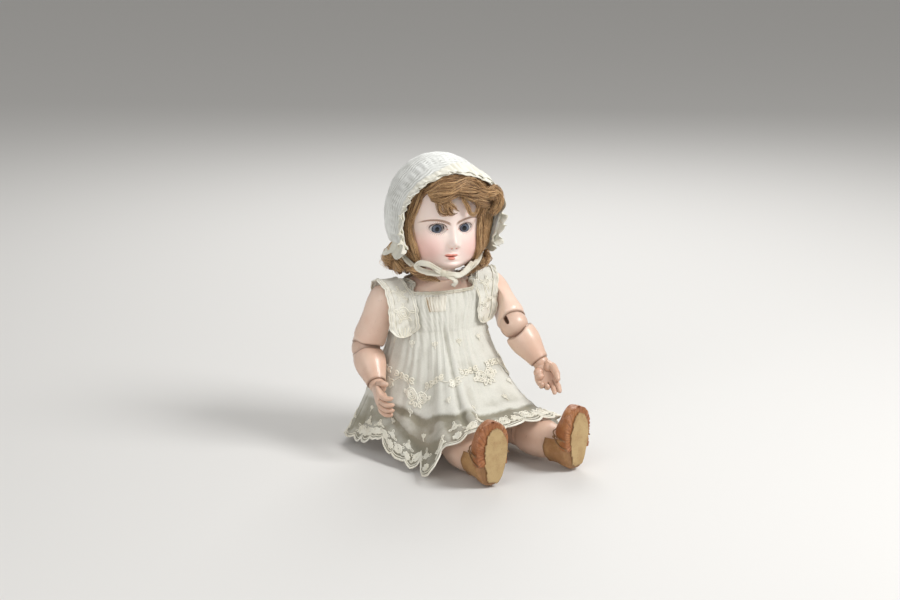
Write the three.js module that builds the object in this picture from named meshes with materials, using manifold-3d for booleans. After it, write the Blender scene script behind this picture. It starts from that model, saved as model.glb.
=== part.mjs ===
// A seated bisque doll: socket head with glass eyes, wig and bonnet, on a strung ball-jointed
// composition body in a sheer dress and leather shoes. Millimetres, +Z up, facing -Y, its right at -X.
import * as THREE from 'three';
import { mergeVertices } from 'three/addons/utils/BufferGeometryUtils.js';
import Module from 'manifold-3d';

const wasm = await Module();
wasm.setup();

const v = (x, y, z) => new THREE.Vector3(x, y, z);
const radians = THREE.MathUtils.degToRad;

// Driving dimensions.
const SPINE_AHEAD = 18; // the spine stands this far ahead of the middle of the seat
const CLEARANCE = 0.3; // running gap round a ball
const SEAT_GAP = 0.35; // gap between pieces that sit on each other
const REACH = 90; // longer than any cut has to go

// Trunk: height, half width, front and back of each section.
const TORSO_SECTIONS = [
  [0, 34, 22, 37], [9, 40.5, 27, 41], [27, 44, 29, 40], [48, 42, 31, 34], [70, 38, 32, 28],
  [92, 36, 30, 26], [113, 37.5, 28, 27], [124, 43, 27, 27], [132, 49, 25, 26], [137, 47.5, 23, 25],
  [143, 40, 21.5, 23], [147.5, 31, 20.5, 21.5], [151, 22.5, 20.5, 20.5],
];
const TORSO_WALL = 9;
const CORD_RADIUS = 1.3;
const CORD_BORE = 3.2;
const WIRE = 1.1;
const HOOK_BEND = 4.2; // inside the trunk, the neck hook turns up on this radius
const HOOK_LOW = 100;
const HOOK_ROOM = 0.9;

// Head and neck.
const NECK_PIVOT = v(0, 0, 150);
const NECK_BALL = 17.4;
const NECK_SHELL = 4.5;
const NECK_HOLE = 5;
const HEAD_TURN = -5;
const CHIN_Z = 163;
const EYE_Z = 200.4;
const CROWN_Z = 254.5;
// Heights on the head: shares of the way from chin to eyes, and from eyes to crown.
const jawZ = (share) => CHIN_Z + (EYE_Z - CHIN_Z) * share;
const skullZ = (share) => EYE_Z + (CROWN_Z - EYE_Z) * share;
const HEAD_SECTIONS = [
  [jawZ(-0.06), 15, 15.5, 15], [jawZ(0), 19, 29, 18.5], [jawZ(0.09), 25, 34.6, 22],
  [jawZ(0.21), 30.6, 37, 27], [jawZ(0.41), 35.4, 38, 32], [jawZ(0.66), 37.7, 38, 37],
  [EYE_Z, 38.5, 37.5, 40.5], [skullZ(0.24), 38.3, 38.8, 41.5],
  [skullZ(0.48), 36, 37.8, 40], [skullZ(0.68), 31.4, 33.5, 36], [skullZ(0.84), 24.4, 26, 28.5],
  [skullZ(0.94), 16, 17, 18.5], [skullZ(0.988), 8, 8.5, 9.5], [CROWN_Z, 1.5, 1.5, 1.5],
];
const HEAD_WALL = 4.5;
const EYE_X = 12.8;
const EYE_Y = -24;
const EYE_RADIUS = 8.2;
const EYE_WIDTH = 14;
const EYE_HEIGHT = 8.4;
const NOSE_Z = 188.2;
const MOUTH_Z = 176.2;
const CROWN_CUT = { y: -6, z: skullZ(0.86), tilt: 24 };
const PATE_WALL = 4;

// Hair and bonnet, both measured out from the head.
const HAIR = 6;
const HAIR_FULL = 1.14; // share of the hair's depth that its waves reach
const WIG_GAP = 2.4;
const HAIRLINE_Z = 223;
const HAIRLINE_HALF = 28.5;
const NAPE_Z = 172;
const CURL_RADIUS = 7;
const CURL_LENGTH = 16;
const BONNET_CLOTH = 1.2;
const BONNET_GAP = 0.8;
const BONNET_FRONT_Y = -21;
const BONNET_NAPE_Z = 186;
const BONNET_ARCH_Z = CROWN_Z - 1.4; // top of the bonnet's front edge
const FRILL_DEPTH = 10;
const FRILL_FLARE = 2.4;
const FRILL_LAP = 2.2; // the frill is sewn this far over the bonnet's edge
const FRILL_WAVES = 15;
const FRILL_WAVE = 1.7;
const TAPE_THICK = 1.6;

// Arms: the ways that the limbs point are those of the pose in which it sits.
const SHOULDER = v(54, 0, 134);
const SHOULDER_BALL = 10.5;
const ARM_FACE = 3.2; // from the ball's middle to the arm's flat inner face
const UPPER_ARM = 47.5;
const ELBOW_BALL = 13.3;
const FOREARM = 42;
const WRIST_BALL = 7.2;
const HAND_LENGTH = 34;
const STAPLE_WIRE = 0.55; // wire eyes that hold the ends of the stringing
const STAPLE_EYE = 1.4;
const STAPLE_LENGTH = 5;
const LIMB_BORE = 2.4;
const BEND_CUT = 51; // angle from a limb's own line to the slanted rim inside its bend
const ARM_WAYS = {
  right: { upper: v(-12, 12, -44), lower: v(-5.5, -33.5, -25), hand: v(-4.5, -21, -26) },
  left: { upper: v(1, -40, -26), lower: v(13, -26, -30.5), hand: v(-2, -25, -23) },
};

// Legs.
const HIP = v(25, -14, 25);
const HIP_BALL = 17;
const THIGH = 62;
const KNEE_BALL = 14.6;
const SHIN = 68; // knee to the underside of the foot
const LEG_SLOPE = -0.049;
const LEG_SPLAY = { right: 0, left: 16 };
const LEG_SWEEP = 23.1; // the thigh's rim corner runs on this radius about the hip
const SWEEP_UP = 105;
const SWEEP_DOWN = -21;
const CROTCH_HALF = 2.5;

// Feet and shoes.
const HEEL = 15; // heel and toe from the leg's line
const TOE = 38;
const FOOT_HALF = 13.2;
const VAMP_LEATHER = 1.4;
const QUARTER_LEATHER = 1.2;
const QUARTER_HEIGHT = 25;
const QUARTER_FRONT = 6;
const LACE_RADIUS = 0.8;
const SHIN_BORE = 40;
const VAMP_TOP = 14;
const SOLE_THICK = 1.2;
const SOLE_MARGIN = 4.6;

// Clothes.
const CLOTH = 1.2;
const CHEST_Z = 104;
const DRESS_YOKE = [
  [149, 30, 23.5, 24], [146, 39, 26.5, 27], [139, 50.5, 29, 29], [122, 48.5, 32.5, 32],
  [CHEST_Z, 44, 36, 33.5],
];
const HEM_POINTS = [
  v(-8, -116, 38), v(22, -104, 42), v(46, -98, 42.5), v(68, -86, 35), v(84, -56, 12), v(87, 0, 5),
  v(64, 44, 4), v(12, 60, 4), v(-36, 58, 4), v(-76, 38, 4), v(-86, 8, 5), v(-80, -42, 4),
  v(-66, -96, 6), v(-50, -118, 31), v(-28, -123, 44),
];
// How far down the cloth ends at angles from the front: it is drawn up at the doll's right.
const HEM_SHARES = [
  [-180, 1], [-110, 0.96], [-88, 0.94], [-70, 0.8], [-55, 0.9], [-36, 1], [-31, 1.07], [-24, 0.9],
  [-18, 0.97], [0, 1.02], [30, 1.02], [60, 1], [180, 1],
];
const DRESS_FOLD = 2.6;
const HEM_LIFT = 0.8; // the hem's clearance over the seat
const SLIP_INSET = 3;
const SLIP_LENGTH = 0.52;
const SLEEVE_RADIUS = 17.4;
const SLEEVE_CLOTH = 1.1;
const SLEEVE_LIFT = 1.9;
const SLEEVES = {
  right: { front: 44, top: 51, back: 42, half: 10.5, drop: 30 },
  left: { front: 30.5, top: 47, back: 42, half: 8.5, drop: 26 },
};

// Finishes.
const finish = (color, roughness, metalness = 0) =>
  new THREE.MeshStandardMaterial({ color, roughness, metalness });
const BISQUE = finish('#f0dcd3', 0.5);
const COMPOSITION = finish('#e3b7a0', 0.35);
const BALL_WOOD = finish('#dba98f', 0.45);
const GLASS = finish('#6f8596', 0.05);
const PLASTER = finish('#e9e4da', 0.9);
const CORK = finish('#b98d5f', 0.9);
const MOHAIR = finish('#9a6a3c', 0.75);
const COTTON = finish('#ece8da', 0.9);
const NET = finish('#d9d8c9', 0.9);
const LINEN = finish('#e6e8e4', 0.9);
const LEATHER = finish('#b0622f', 0.5);
const PALE_LEATHER = finish('#b98a5c', 0.65);
const SOLE_LEATHER = finish('#b39a6b', 0.85);
const ELASTIC = finish('#d8cfc0', 0.9);
const STEEL = finish('#8d8a85', 0.4, 1);
const WASHER_WOOD = finish('#a5794e', 0.7);

// Solids.
function outward(geometry) {
  const bare = geometry.clone();
  bare.deleteAttribute('normal');
  bare.deleteAttribute('uv');
  const merged = mergeVertices(bare, 1e-4);
  const place = merged.attributes.position;
  const index = merged.index.array;
  const corners = [v(0, 0, 0), v(0, 0, 0), v(0, 0, 0)];
  let volume = 0;
  for (let i = 0; i < index.length; i += 3) {
    corners.forEach((corner, k) => corner.fromBufferAttribute(place, index[i + k]));
    volume += corners[0].dot(corners[1].clone().cross(corners[2]));
  }
  if (volume < 0) {
    for (let i = 0; i < index.length; i += 3) {
      [index[i], index[i + 1]] = [index[i + 1], index[i]];
    }
  }
  return merged;
}

function solidOf(geometry) {
  const { attributes, index } = outward(geometry);
  return new wasm.Manifold(new wasm.Mesh({
    numProp: 3,
    vertProperties: new Float32Array(attributes.position.array),
    triVerts: new Uint32Array(index.array),
  }));
}

function geometryOf(solid) {
  const mesh = solid.getMesh();
  const geometry = new THREE.BufferGeometry();
  geometry.setAttribute('position', new THREE.BufferAttribute(new Float32Array(mesh.vertProperties), 3));
  geometry.setIndex(new THREE.BufferAttribute(new Uint32Array(mesh.triVerts), 1));
  return geometry;
}

const combine = (how, first, others) =>
  geometryOf(others.reduce((solid, other) => solid[how](solidOf(other)), solidOf(first)));
const cut = (first, ...others) => combine('subtract', first, others);
const join = (first, ...others) => combine('add', first, others);
const common = (first, ...others) => combine('intersect', first, others);

// A skin over rows of points with as many points in each row: closed by end caps, or on itself.
function skin(rows, ring = false) {
  const count = rows[0].length;
  const points = rows.flat();
  const faces = [];
  const last = ring ? rows.length : rows.length - 1;
  for (let r = 0; r < last; r += 1) {
    const next = (r + 1) % rows.length;
    for (let i = 0; i < count; i += 1) {
      const j = (i + 1) % count;
      const [a, b, c, d] = [r * count + i, r * count + j, next * count + j, next * count + i];
      faces.push(a, b, c, a, c, d);
    }
  }
  if (!ring) {
    for (const [row, flip] of [[0, true], [rows.length - 1, false]]) {
      const middle = points.length;
      const sum = rows[row].reduce((total, point) => total.add(point), v(0, 0, 0));
      points.push(sum.divideScalar(count));
      for (let i = 0; i < count; i += 1) {
        const [a, b] = [row * count + i, row * count + ((i + 1) % count)];
        faces.push(...(flip ? [middle, b, a] : [middle, a, b]));
      }
    }
  }
  const geometry = new THREE.BufferGeometry().setFromPoints(points);
  geometry.setIndex(faces);
  return outward(geometry);
}

// A closed wall between an outer and an inner skin of rings, open at both ends.
const wall = (outer, inner) => skin([...outer, ...[...inner].reverse()], true);

const ball = (radius, around = 11, down = 7) => new THREE.SphereGeometry(radius, around, down);

// A cup's facets stay outside the ball that turns in it.
const CUP_AROUND = 14;
const CUP_DOWN = 8;
const CUP_FLAT = Math.cos(Math.PI / CUP_AROUND) * Math.cos(Math.PI / 2 / CUP_DOWN);
const cup = (radius) => ball((radius + CLEARANCE) / CUP_FLAT, CUP_AROUND, CUP_DOWN);

function box(low, high) {
  const size = high.clone().sub(low);
  const middle = low.clone().add(high).divideScalar(2);
  return new THREE.BoxGeometry(size.x, size.y, size.z).translate(middle.x, middle.y, middle.z);
}

// A round bar between two heights on the local Z axis.
const bar = (radius, low, high, sides = 12) =>
  new THREE.CylinderGeometry(radius, radius, high - low, sides)
    .rotateX(Math.PI / 2).translate(0, 0, (low + high) / 2);

function rodBetween(from, to, radius, sides = 10) {
  const length = from.distanceTo(to);
  return bar(radius, 0, length, sides).applyMatrix4(frameAt(from, to.clone().sub(from), v(0, 1, 0.01)));
}

function tube(points, radius, sides, steps) {
  const circle = new THREE.Shape();
  for (let i = 0; i < sides; i += 1) {
    const angle = (2 * Math.PI * i) / sides;
    circle[i ? 'lineTo' : 'moveTo'](radius * Math.cos(angle), radius * Math.sin(angle));
  }
  circle.closePath();
  const extrudePath = new THREE.CatmullRomCurve3(points);
  return outward(new THREE.ExtrudeGeometry(circle, { steps, extrudePath, bevelEnabled: false }));
}

// A tapered round limb along a smooth line, with a radius at each end and one in the middle.
function taper(points, radii, sides = 8, steps = 6) {
  const line = new THREE.CatmullRomCurve3(points);
  const frames = line.computeFrenetFrames(steps, false);
  const size = new THREE.SplineCurve(radii.map((radius, i) => new THREE.Vector2(i, radius)));
  const rows = [];
  for (let k = 0; k <= steps; k += 1) {
    const middle = line.getPointAt(k / steps);
    const radius = size.getPoint(k / steps).y;
    rows.push(Array.from({ length: sides }, (_, i) => {
      const angle = (2 * Math.PI * i) / sides;
      return middle.clone()
        .addScaledVector(frames.normals[k], radius * Math.cos(angle))
        .addScaledVector(frames.binormals[k], radius * Math.sin(angle));
    }));
  }
  return skin(rows);
}

// A frame whose Z runs along a way and whose X is as near to a side as can be.
function frameAt(origin, along, side) {
  const z = along.clone().normalize();
  const y = z.clone().cross(side).normalize();
  const x = y.clone().cross(z);
  return new THREE.Matrix4().makeBasis(x, y, z).setPosition(origin);
}

// Values of a table of sections at a height, on smooth curves through its rows.
function between(sections, height) {
  const top = sections.length - 1;
  const rising = sections[top][0] > sections[0][0];
  const z = THREE.MathUtils.clamp(height, Math.min(sections[0][0], sections[top][0]),
    Math.max(sections[0][0], sections[top][0]));
  let i = 0;
  while (i < top - 1 && (rising ? z > sections[i + 1][0] : z < sections[i + 1][0])) {
    i += 1;
  }
  const [p, q] = [sections[i], sections[i + 1]];
  const [before, after] = [sections[Math.max(i - 1, 0)], sections[Math.min(i + 2, top)]];
  const step = q[0] - p[0];
  const t = (z - p[0]) / step;
  return p.map((_, k) => {
    const leave = ((q[k] - before[k]) / (q[0] - before[0])) * step;
    const arrive = ((after[k] - p[k]) / (after[0] - p[0])) * step;
    const [t2, t3] = [t * t, t * t * t];
    return (2 * t3 - 3 * t2 + 1) * p[k] + (t3 - 2 * t2 + t) * leave
      + (3 * t2 - 2 * t3) * q[k] + (t3 - t2) * arrive;
  });
}

// A point of a section at an angle from the front, where positive angles go to the doll's left.
const onSection = ([z, half, front, back], angle) =>
  v(half * Math.sin(angle), -Math.cos(angle) * (Math.cos(angle) > 0 ? front : back), z);

const turnAngles = (count) => Array.from({ length: count }, (_, i) => (2 * Math.PI * i) / count - Math.PI);

function sectionSolid(sections, heights, count) {
  return skin(heights.map((z) => turnAngles(count).map((angle) => onSection(between(sections, z), angle))));
}

// Rings of half widths across and through a limb, along its own Z.
const limbSolid = (stations, sides = 12) => skin(stations.map(([along, across, through = across]) =>
  turnAngles(sides).map((angle) => v(across * Math.sin(angle), -through * Math.cos(angle), along))));

function group(name, parent) {
  const made = new THREE.Group();
  made.name = name;
  parent.add(made);
  return made;
}

function piece(parent, name, geometry, material, frame = new THREE.Matrix4()) {
  const mesh = new THREE.Mesh(geometry, material);
  mesh.name = name;
  mesh.applyMatrix4(frame);
  parent.add(mesh);
  return mesh;
}

const doll = new THREE.Group();
doll.position.y = -SPINE_AHEAD;

// Which side of the body a limb is on: -1 for the doll's right.
const SIDES = { right: -1, left: 1 };
const mirrored = (point, side) => v(point.x * SIDES[side], point.y, point.z);

// Each stretch of cord leaves its ball along the bore to where it turns inside the trunk.
const leaving = (place, radius, turn) =>
  place.clone().addScaledVector(turn.clone().sub(place).normalize(), radius + SEAT_GAP);
const armTurn = (side) => v(SIDES[side] * 12, -9, 117);
const hipTurn = (side) => v(SIDES[side] * 9, -2, 82);

// Torso.
function legOpening(side) {
  const at = (radius, degrees) => [
    HIP.y + radius * Math.cos(radians(degrees)), HIP.z + radius * Math.sin(radians(degrees)),
  ];
  const [backY, backZ] = at(LEG_SWEEP, SWEEP_DOWN);
  const [frontY, frontZ] = at(LEG_SWEEP, SWEEP_UP);
  const slope = Math.tan(radians(SWEEP_UP - 90));
  const outline = new THREE.Shape();
  outline.moveTo(HIP.y, HIP.z);
  outline.lineTo(backY, backZ);
  outline.lineTo(backY, -REACH);
  outline.lineTo(-REACH, -REACH);
  outline.lineTo(-REACH, frontZ + slope * (frontY + REACH));
  outline.lineTo(frontY, frontZ);
  const slab = new THREE.ExtrudeGeometry(outline, { depth: REACH, bevelEnabled: false });
  const turned = new THREE.Matrix4().makeBasis(v(0, 1, 0), v(0, 0, 1), v(1, 0, 0));
  slab.applyMatrix4(turned);
  return slab.translate(side === 'left' ? CROTCH_HALF : -CROTCH_HALF - REACH, 0, 0);
}

function torsoSolid() {
  const heights = [0, 9, 25, 46, 68, 94, 114, 125, 132, 138, 144, 151];
  const inner = TORSO_SECTIONS.map(([z, half, front, back]) =>
    [z, half - TORSO_WALL, front - TORSO_WALL, back - TORSO_WALL]);
  const hollow = sectionSolid(inner, [58, 90, 123], 10);
  const socketFor = (place, radius) => cup(radius).translate(place.x, place.y, place.z);
  const tools = [hollow, socketFor(NECK_PIVOT, NECK_BALL), bar(NECK_HOLE + 1, 110, NECK_PIVOT.z)];
  for (const side of Object.keys(SIDES)) {
    const shoulder = mirrored(SHOULDER, side);
    const hip = mirrored(HIP, side);
    tools.push(legOpening(side), socketFor(shoulder, SHOULDER_BALL), socketFor(hip, HIP_BALL));
    tools.push(rodBetween(shoulder, armTurn(side), CORD_BORE, 8));
    tools.push(rodBetween(hip, hipTurn(side), CORD_BORE, 8));
  }
  return cut(sectionSolid(TORSO_SECTIONS, heights, 18), ...tools);
}

piece(doll, 'torso', torsoSolid(), COMPOSITION);

const armLine = (side) => [leaving(mirrored(SHOULDER, side), SHOULDER_BALL, armTurn(side)), armTurn(side)];
const armPoints = [...armLine('right'), ...armLine('left').reverse()];
piece(doll, 'arm_elastic', tube(armPoints, CORD_RADIUS, 5, 10), ELASTIC);

const overHook = WIRE + HOOK_ROOM + CORD_RADIUS;
const legLine = (side) => [
  leaving(mirrored(HIP, side), HIP_BALL, hipTurn(side)), hipTurn(side),
  v(SIDES[side] * (overHook + 0.4), HOOK_BEND, HOOK_LOW),
];
piece(doll, 'leg_elastic', tube(
  [...legLine('right'), v(0, HOOK_BEND, HOOK_LOW + overHook), ...legLine('left').reverse()],
  CORD_RADIUS, 5, 18,
), ELASTIC);

// Neck fitting: a hooked wire drawn up by a spring that bears on a washer in the neck.
const neck = group('neck', doll);
const WASHER_RADIUS = 9;
const WASHER_THICK = 3.5;
const washerZ = NECK_PIVOT.z - Math.sqrt((NECK_BALL - NECK_SHELL) ** 2 - WASHER_RADIUS ** 2) + 2 * SEAT_GAP;
const SPRING_RADIUS = 5;
const SPRING_WIRE = 0.8;
const SPRING_TURNS = 5;
const SPRING_LENGTH = 14;
const springLow = washerZ + WASHER_THICK + SEAT_GAP + SPRING_WIRE;
const plateLow = springLow + SPRING_LENGTH + SPRING_WIRE + SEAT_GAP;
const PLATE_THICK = 1.6;
const PLATE_RADIUS = 6.6;

piece(neck, 'neck_washer', cut(
  bar(WASHER_RADIUS, washerZ, washerZ + WASHER_THICK, 20),
  bar(WIRE + SEAT_GAP, 0, REACH * 3, 10),
), WASHER_WOOD);
const SPRING_STEPS = SPRING_TURNS * 6;
const springLine = Array.from({ length: SPRING_STEPS + 1 }, (_, k) => {
  const angle = (2 * Math.PI * SPRING_TURNS * k) / SPRING_STEPS;
  const z = springLow + (SPRING_LENGTH * k) / SPRING_STEPS;
  return v(SPRING_RADIUS * Math.cos(angle), SPRING_RADIUS * Math.sin(angle), z);
});
piece(neck, 'neck_spring', tube(springLine, SPRING_WIRE, 4, SPRING_STEPS), STEEL);
piece(neck, 'neck_plate', cut(
  bar(PLATE_RADIUS, plateLow, plateLow + PLATE_THICK, 16),
  bar(WIRE + SEAT_GAP, 0, REACH * 3, 10),
), STEEL);
const bendMiddle = HOOK_LOW + HOOK_BEND;
const bend = Array.from({ length: 7 }, (_, k) => {
  const angle = Math.PI + (1.25 * Math.PI * k) / 6;
  return v(0, HOOK_BEND + HOOK_BEND * Math.cos(angle), bendMiddle + HOOK_BEND * Math.sin(angle));
});
const hookTop = plateLow + PLATE_THICK + SEAT_GAP;
const shank = [hookTop + 1, (hookTop + bendMiddle) / 2, bendMiddle + 6].map((z) => v(0, 0, z));
piece(neck, 'neck_hook', join(
  tube([...shank, ...bend], WIRE, 5, 15),
  bar(WIRE * 2.4, hookTop, hookTop + 2.2, 6),
), STEEL);

// Head.
const head = group('head', doll);
head.rotation.z = radians(HEAD_TURN);

const bump = (across, up, width, height) => Math.exp(-((across / width) ** 2) - ((up / height) ** 2));

// How far the face stands proud of the plain head, at a place across and up it.
function faceRelief(x, z) {
  const side = Math.abs(x);
  const up = z - EYE_Z;
  const nose = z - NOSE_Z;
  const mouth = z - MOUTH_Z;
  const sockets = -2.4 * bump(side - EYE_X, up, 8.6, 6.2) + 0.9 * bump(side - EYE_X, up - 10, 12, 4.5);
  const bridge = 3 * bump(x, up + 4.5, 4.2, 8.5);
  const tip = 8 * bump(x, nose, 4.7, 4.6) + 1.7 * bump(side - 4.6, nose + 2, 2.6, 2.6);
  const cheeks = 1.9 * bump(side - 19, up + 17, 10, 9);
  const lips = 2.2 * bump(side - 2.2, mouth - 1.8, 3.6, 1.9) + 2.3 * bump(x, mouth + 2.1, 4.2, 2);
  const parting = -1.5 * bump(x, mouth, 5.8, 0.9);
  const chin = 2.6 * bump(x, z - CHIN_Z - 4.6, 8, 3.8) - 0.7 * bump(x, mouth + 5.2, 6.5, 1.3);
  return sockets + bridge + tip + cheeks + lips + parting + chin;
}

// Points crowd towards the face, so its features keep their form.
const headAngles = (count) =>
  turnAngles(count).map((turn) => turn * (0.42 + 0.58 * Math.abs(turn / Math.PI)));

function headPoint(z, angle, out, featured) {
  const [, half, front, back] = between(HEAD_SECTIONS, z);
  const point = onSection([z, half + out, front + out, back + out], angle);
  if (featured && Math.cos(angle) > 0) {
    point.y -= faceRelief(point.x, z) * Math.min(1, Math.cos(angle) * 1.6);
  }
  return point;
}

const FACE_ROW = 2.6;
const faceRows = Array.from({ length: 16 }, (_, k) => CHIN_Z + FACE_ROW * k);
const skullRows = [0.19, 0.36, 0.54, 0.73, 0.88, 0.988].map(skullZ);
const headRows = [...faceRows, ...skullRows];

function neckRows(out) {
  const rows = [];
  for (const degrees of [172, 144, 112]) {
    const radius = (NECK_BALL + out) * Math.sin(radians(degrees));
    rows.push([radius, NECK_PIVOT.z + (NECK_BALL + out) * Math.cos(radians(degrees))]);
  }
  const neckRows = [[15.2, 5], [14.3, 7.6], [14.6, 9.8]];
  rows.push(...neckRows.map(([radius, rise]) => [radius + out, NECK_PIVOT.z + rise]));
  return rows;
}

function headOuter(out = 0) {
  const angles = headAngles(25);
  const rows = neckRows(out).map(([radius, z]) =>
    angles.map((angle) => v(radius * Math.sin(angle), -radius * Math.cos(angle), z)));
  headRows.forEach((z) => rows.push(angles.map((angle) => headPoint(z, angle, out, true))));
  return skin(rows);
}

function headHollow() {
  const angles = turnAngles(12);
  const rows = [137.6, 141, 150, 159].map((z) => {
    const deep = NECK_BALL - NECK_SHELL;
    const radius = z < NECK_PIVOT.z ? Math.sqrt(deep ** 2 - (z - NECK_PIVOT.z) ** 2) : 10.5;
    return angles.map((angle) => v(radius * Math.sin(angle), -radius * Math.cos(angle), z));
  });
  for (const z of [jawZ(0.22), jawZ(0.62), skullZ(0.24), skullZ(0.64), skullZ(0.84)]) {
    rows.push(angles.map((angle) => headPoint(z, angle, -HEAD_WALL, false)));
  }
  return skin(rows);
}

function almond(width, height) {
  const outline = new THREE.Shape();
  outline.moveTo(-width / 2, 0);
  outline.quadraticCurveTo(0, height * 1.06, width / 2, 0);
  outline.quadraticCurveTo(0, -height * 0.94, -width / 2, 0);
  return outline;
}

function eyeOpening(side) {
  const deep = { depth: 40, bevelEnabled: false, curveSegments: 6 };
  const hole = new THREE.ExtrudeGeometry(almond(EYE_WIDTH, EYE_HEIGHT), deep);
  return hole.rotateX(Math.PI / 2).translate(SIDES[side] * EYE_X, EYE_Y, EYE_Z);
}

const eyePlace = (side) => v(SIDES[side] * EYE_X, EYE_Y, EYE_Z);
const crownFrame = new THREE.Matrix4().makeRotationX(radians(-CROWN_CUT.tilt))
  .setPosition(0, CROWN_CUT.y, CROWN_CUT.z);
const aboveCrown = (gap) => box(v(-REACH, -REACH, gap), v(REACH, REACH, REACH)).applyMatrix4(crownFrame);

const plainHead = headOuter();
const eyePockets = Object.keys(SIDES).flatMap((side) => {
  const { x, y, z } = eyePlace(side);
  return [eyeOpening(side), ball(EYE_RADIUS + SEAT_GAP + 0.4, 10, 7).translate(x, y, z)];
});
piece(head, 'head_shell', cut(
  plainHead, headHollow(), aboveCrown(0), bar(NECK_HOLE, 120, 145, 14), ...eyePockets,
), BISQUE);

const pateInside = skin([skullZ(0.44), skullZ(0.72), CROWN_Z - PATE_WALL].map((z) =>
  turnAngles(9).map((angle) => headPoint(z, angle, -PATE_WALL, false))));
piece(head, 'crown_pate', cut(common(plainHead, aboveCrown(SEAT_GAP)), pateInside), CORK);

for (const side of Object.keys(SIDES)) {
  piece(head, `eye_${side}`, ball(EYE_RADIUS, 11, 7).rotateX(Math.PI / 2), GLASS,
    new THREE.Matrix4().setPosition(eyePlace(side)));
}

function eyeBed() {
  const half = EYE_X + 8;
  const high = 7;
  const outline = new THREE.Shape();
  outline.moveTo(-half + high, -high);
  outline.lineTo(half - high, -high);
  outline.absarc(half - high, 0, high, -Math.PI / 2, Math.PI / 2);
  outline.lineTo(-half + high, high);
  outline.absarc(-half + high, 0, high, Math.PI / 2, (3 * Math.PI) / 2);
  const slab = new THREE.ExtrudeGeometry(outline, { depth: 9, bevelEnabled: false, curveSegments: 4 });
  slab.rotateX(Math.PI / 2).translate(0, EYE_Y + 10.5, EYE_Z);
  const beds = Object.keys(SIDES).map((side) => {
    const { x, y, z } = eyePlace(side);
    return ball(EYE_RADIUS + SEAT_GAP + 0.4, 9, 7).translate(x, y, z);
  });
  return cut(slab, ...beds);
}
piece(head, 'eye_plaster', eyeBed(), PLASTER);

// Wig: a cap of hair cut open round the face, with a fringe and ringlets.
const hairRows = [NAPE_Z, jawZ(0.56), jawZ(0.94), ...[0.22, 0.5, 0.72, 0.88, 0.97].map(skullZ)];

function hairOuter(out) {
  const rows = hairRows.map((z) => turnAngles(16).map((angle) => {
    const lift = 1 + 0.12 * Math.cos(4 * angle) * Math.min(1, (CROWN_Z - z) / 30);
    return headPoint(z, angle, HAIR * (out ? HAIR_FULL : lift) + out, false);
  }));
  const top = CROWN_Z + HAIR * 0.9 + out;
  rows.push(turnAngles(16).map((angle) => v(4 * Math.sin(angle), -4 * Math.cos(angle), top)));
  return skin(rows);
}

function faceWindow() {
  const outline = new THREE.Shape();
  outline.moveTo(-HAIRLINE_HALF, CHIN_Z - 20);
  outline.lineTo(HAIRLINE_HALF, CHIN_Z - 20);
  outline.lineTo(HAIRLINE_HALF, EYE_Z + 3);
  outline.quadraticCurveTo(HAIRLINE_HALF - 2, HAIRLINE_Z, 0, HAIRLINE_Z);
  outline.quadraticCurveTo(-HAIRLINE_HALF + 2, HAIRLINE_Z, -HAIRLINE_HALF, EYE_Z + 3);
  const hole = new THREE.ExtrudeGeometry(outline, { depth: REACH, bevelEnabled: false, curveSegments: 6 });
  return hole.rotateX(Math.PI / 2).translate(0, -12, 0);
}

function fringeCurl(x, drop, lean) {
  const top = headPoint(HAIRLINE_Z + 4, Math.asin(x / 40), 2.4, false);
  const low = headPoint(HAIRLINE_Z - drop, Math.asin((x + lean) / 40), 2.6, false);
  const middle = top.clone().add(low).divideScalar(2).add(v(lean * 0.5, -1.4, 0));
  return taper([top, middle, low], [3.2, 2.8, 1.3], 5, 3);
}

function ringlet(angle) {
  const top = headPoint(NAPE_Z + 5, angle, HAIR * 0.4, false);
  const low = top.clone().add(v(5 * Math.sin(angle), -5 * Math.cos(angle), -CURL_LENGTH));
  const points = [0, 1, 2, 3].map((k) => top.clone().lerp(low, k / 3));
  return taper(points, [CURL_RADIUS * 0.45, CURL_RADIUS, CURL_RADIUS, CURL_RADIUS * 0.55], 6, 4);
}

function headBare(out) {
  const rows = [148, CHIN_Z - 3.4].map((z) => turnAngles(16).map((angle) =>
    v((16 + out) * Math.sin(angle), -(16 + out) * Math.cos(angle), z)));
  [jawZ(0.02), jawZ(0.21), jawZ(0.6), EYE_Z, ...[0.32, 0.6, 0.8, 0.93].map(skullZ)].forEach((z) =>
    rows.push(turnAngles(16).map((angle) => headPoint(z, angle, out, false))));
  rows.push(turnAngles(16).map((angle) => v(5 * Math.sin(angle), -5 * Math.cos(angle), CROWN_Z + out)));
  return skin(rows);
}

const RINGLETS = [-1.95, -2.4, -2.9, 2.9, 2.4, 1.95];
const curls = [
  fringeCurl(-17, 3, 4), fringeCurl(-8, 5, 6), fringeCurl(3, 14, -4),
  fringeCurl(9, 6, 7), fringeCurl(18, 9, -3),
];
piece(head, 'wig', cut(
  join(cut(hairOuter(0), faceWindow()), ...curls, ...RINGLETS.map(ringlet)),
  headBare(WIG_GAP), box(v(-REACH, -REACH, 0), v(REACH, REACH, NECK_PIVOT.z + 12)),
), MOHAIR);

// Bonnet.
const bonnetRoom = (out, gap) => cut(
  hairOuter(out),
  box(v(-REACH, -REACH, 0), v(REACH, BONNET_FRONT_Y - gap, REACH * 3)),
  box(v(-REACH, -REACH, 0), v(REACH, REACH, BONNET_NAPE_Z - gap)),
);
piece(head, 'bonnet_crown', cut(bonnetRoom(BONNET_GAP + BONNET_CLOTH, 0), hairOuter(BONNET_GAP)), COTTON);

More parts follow.
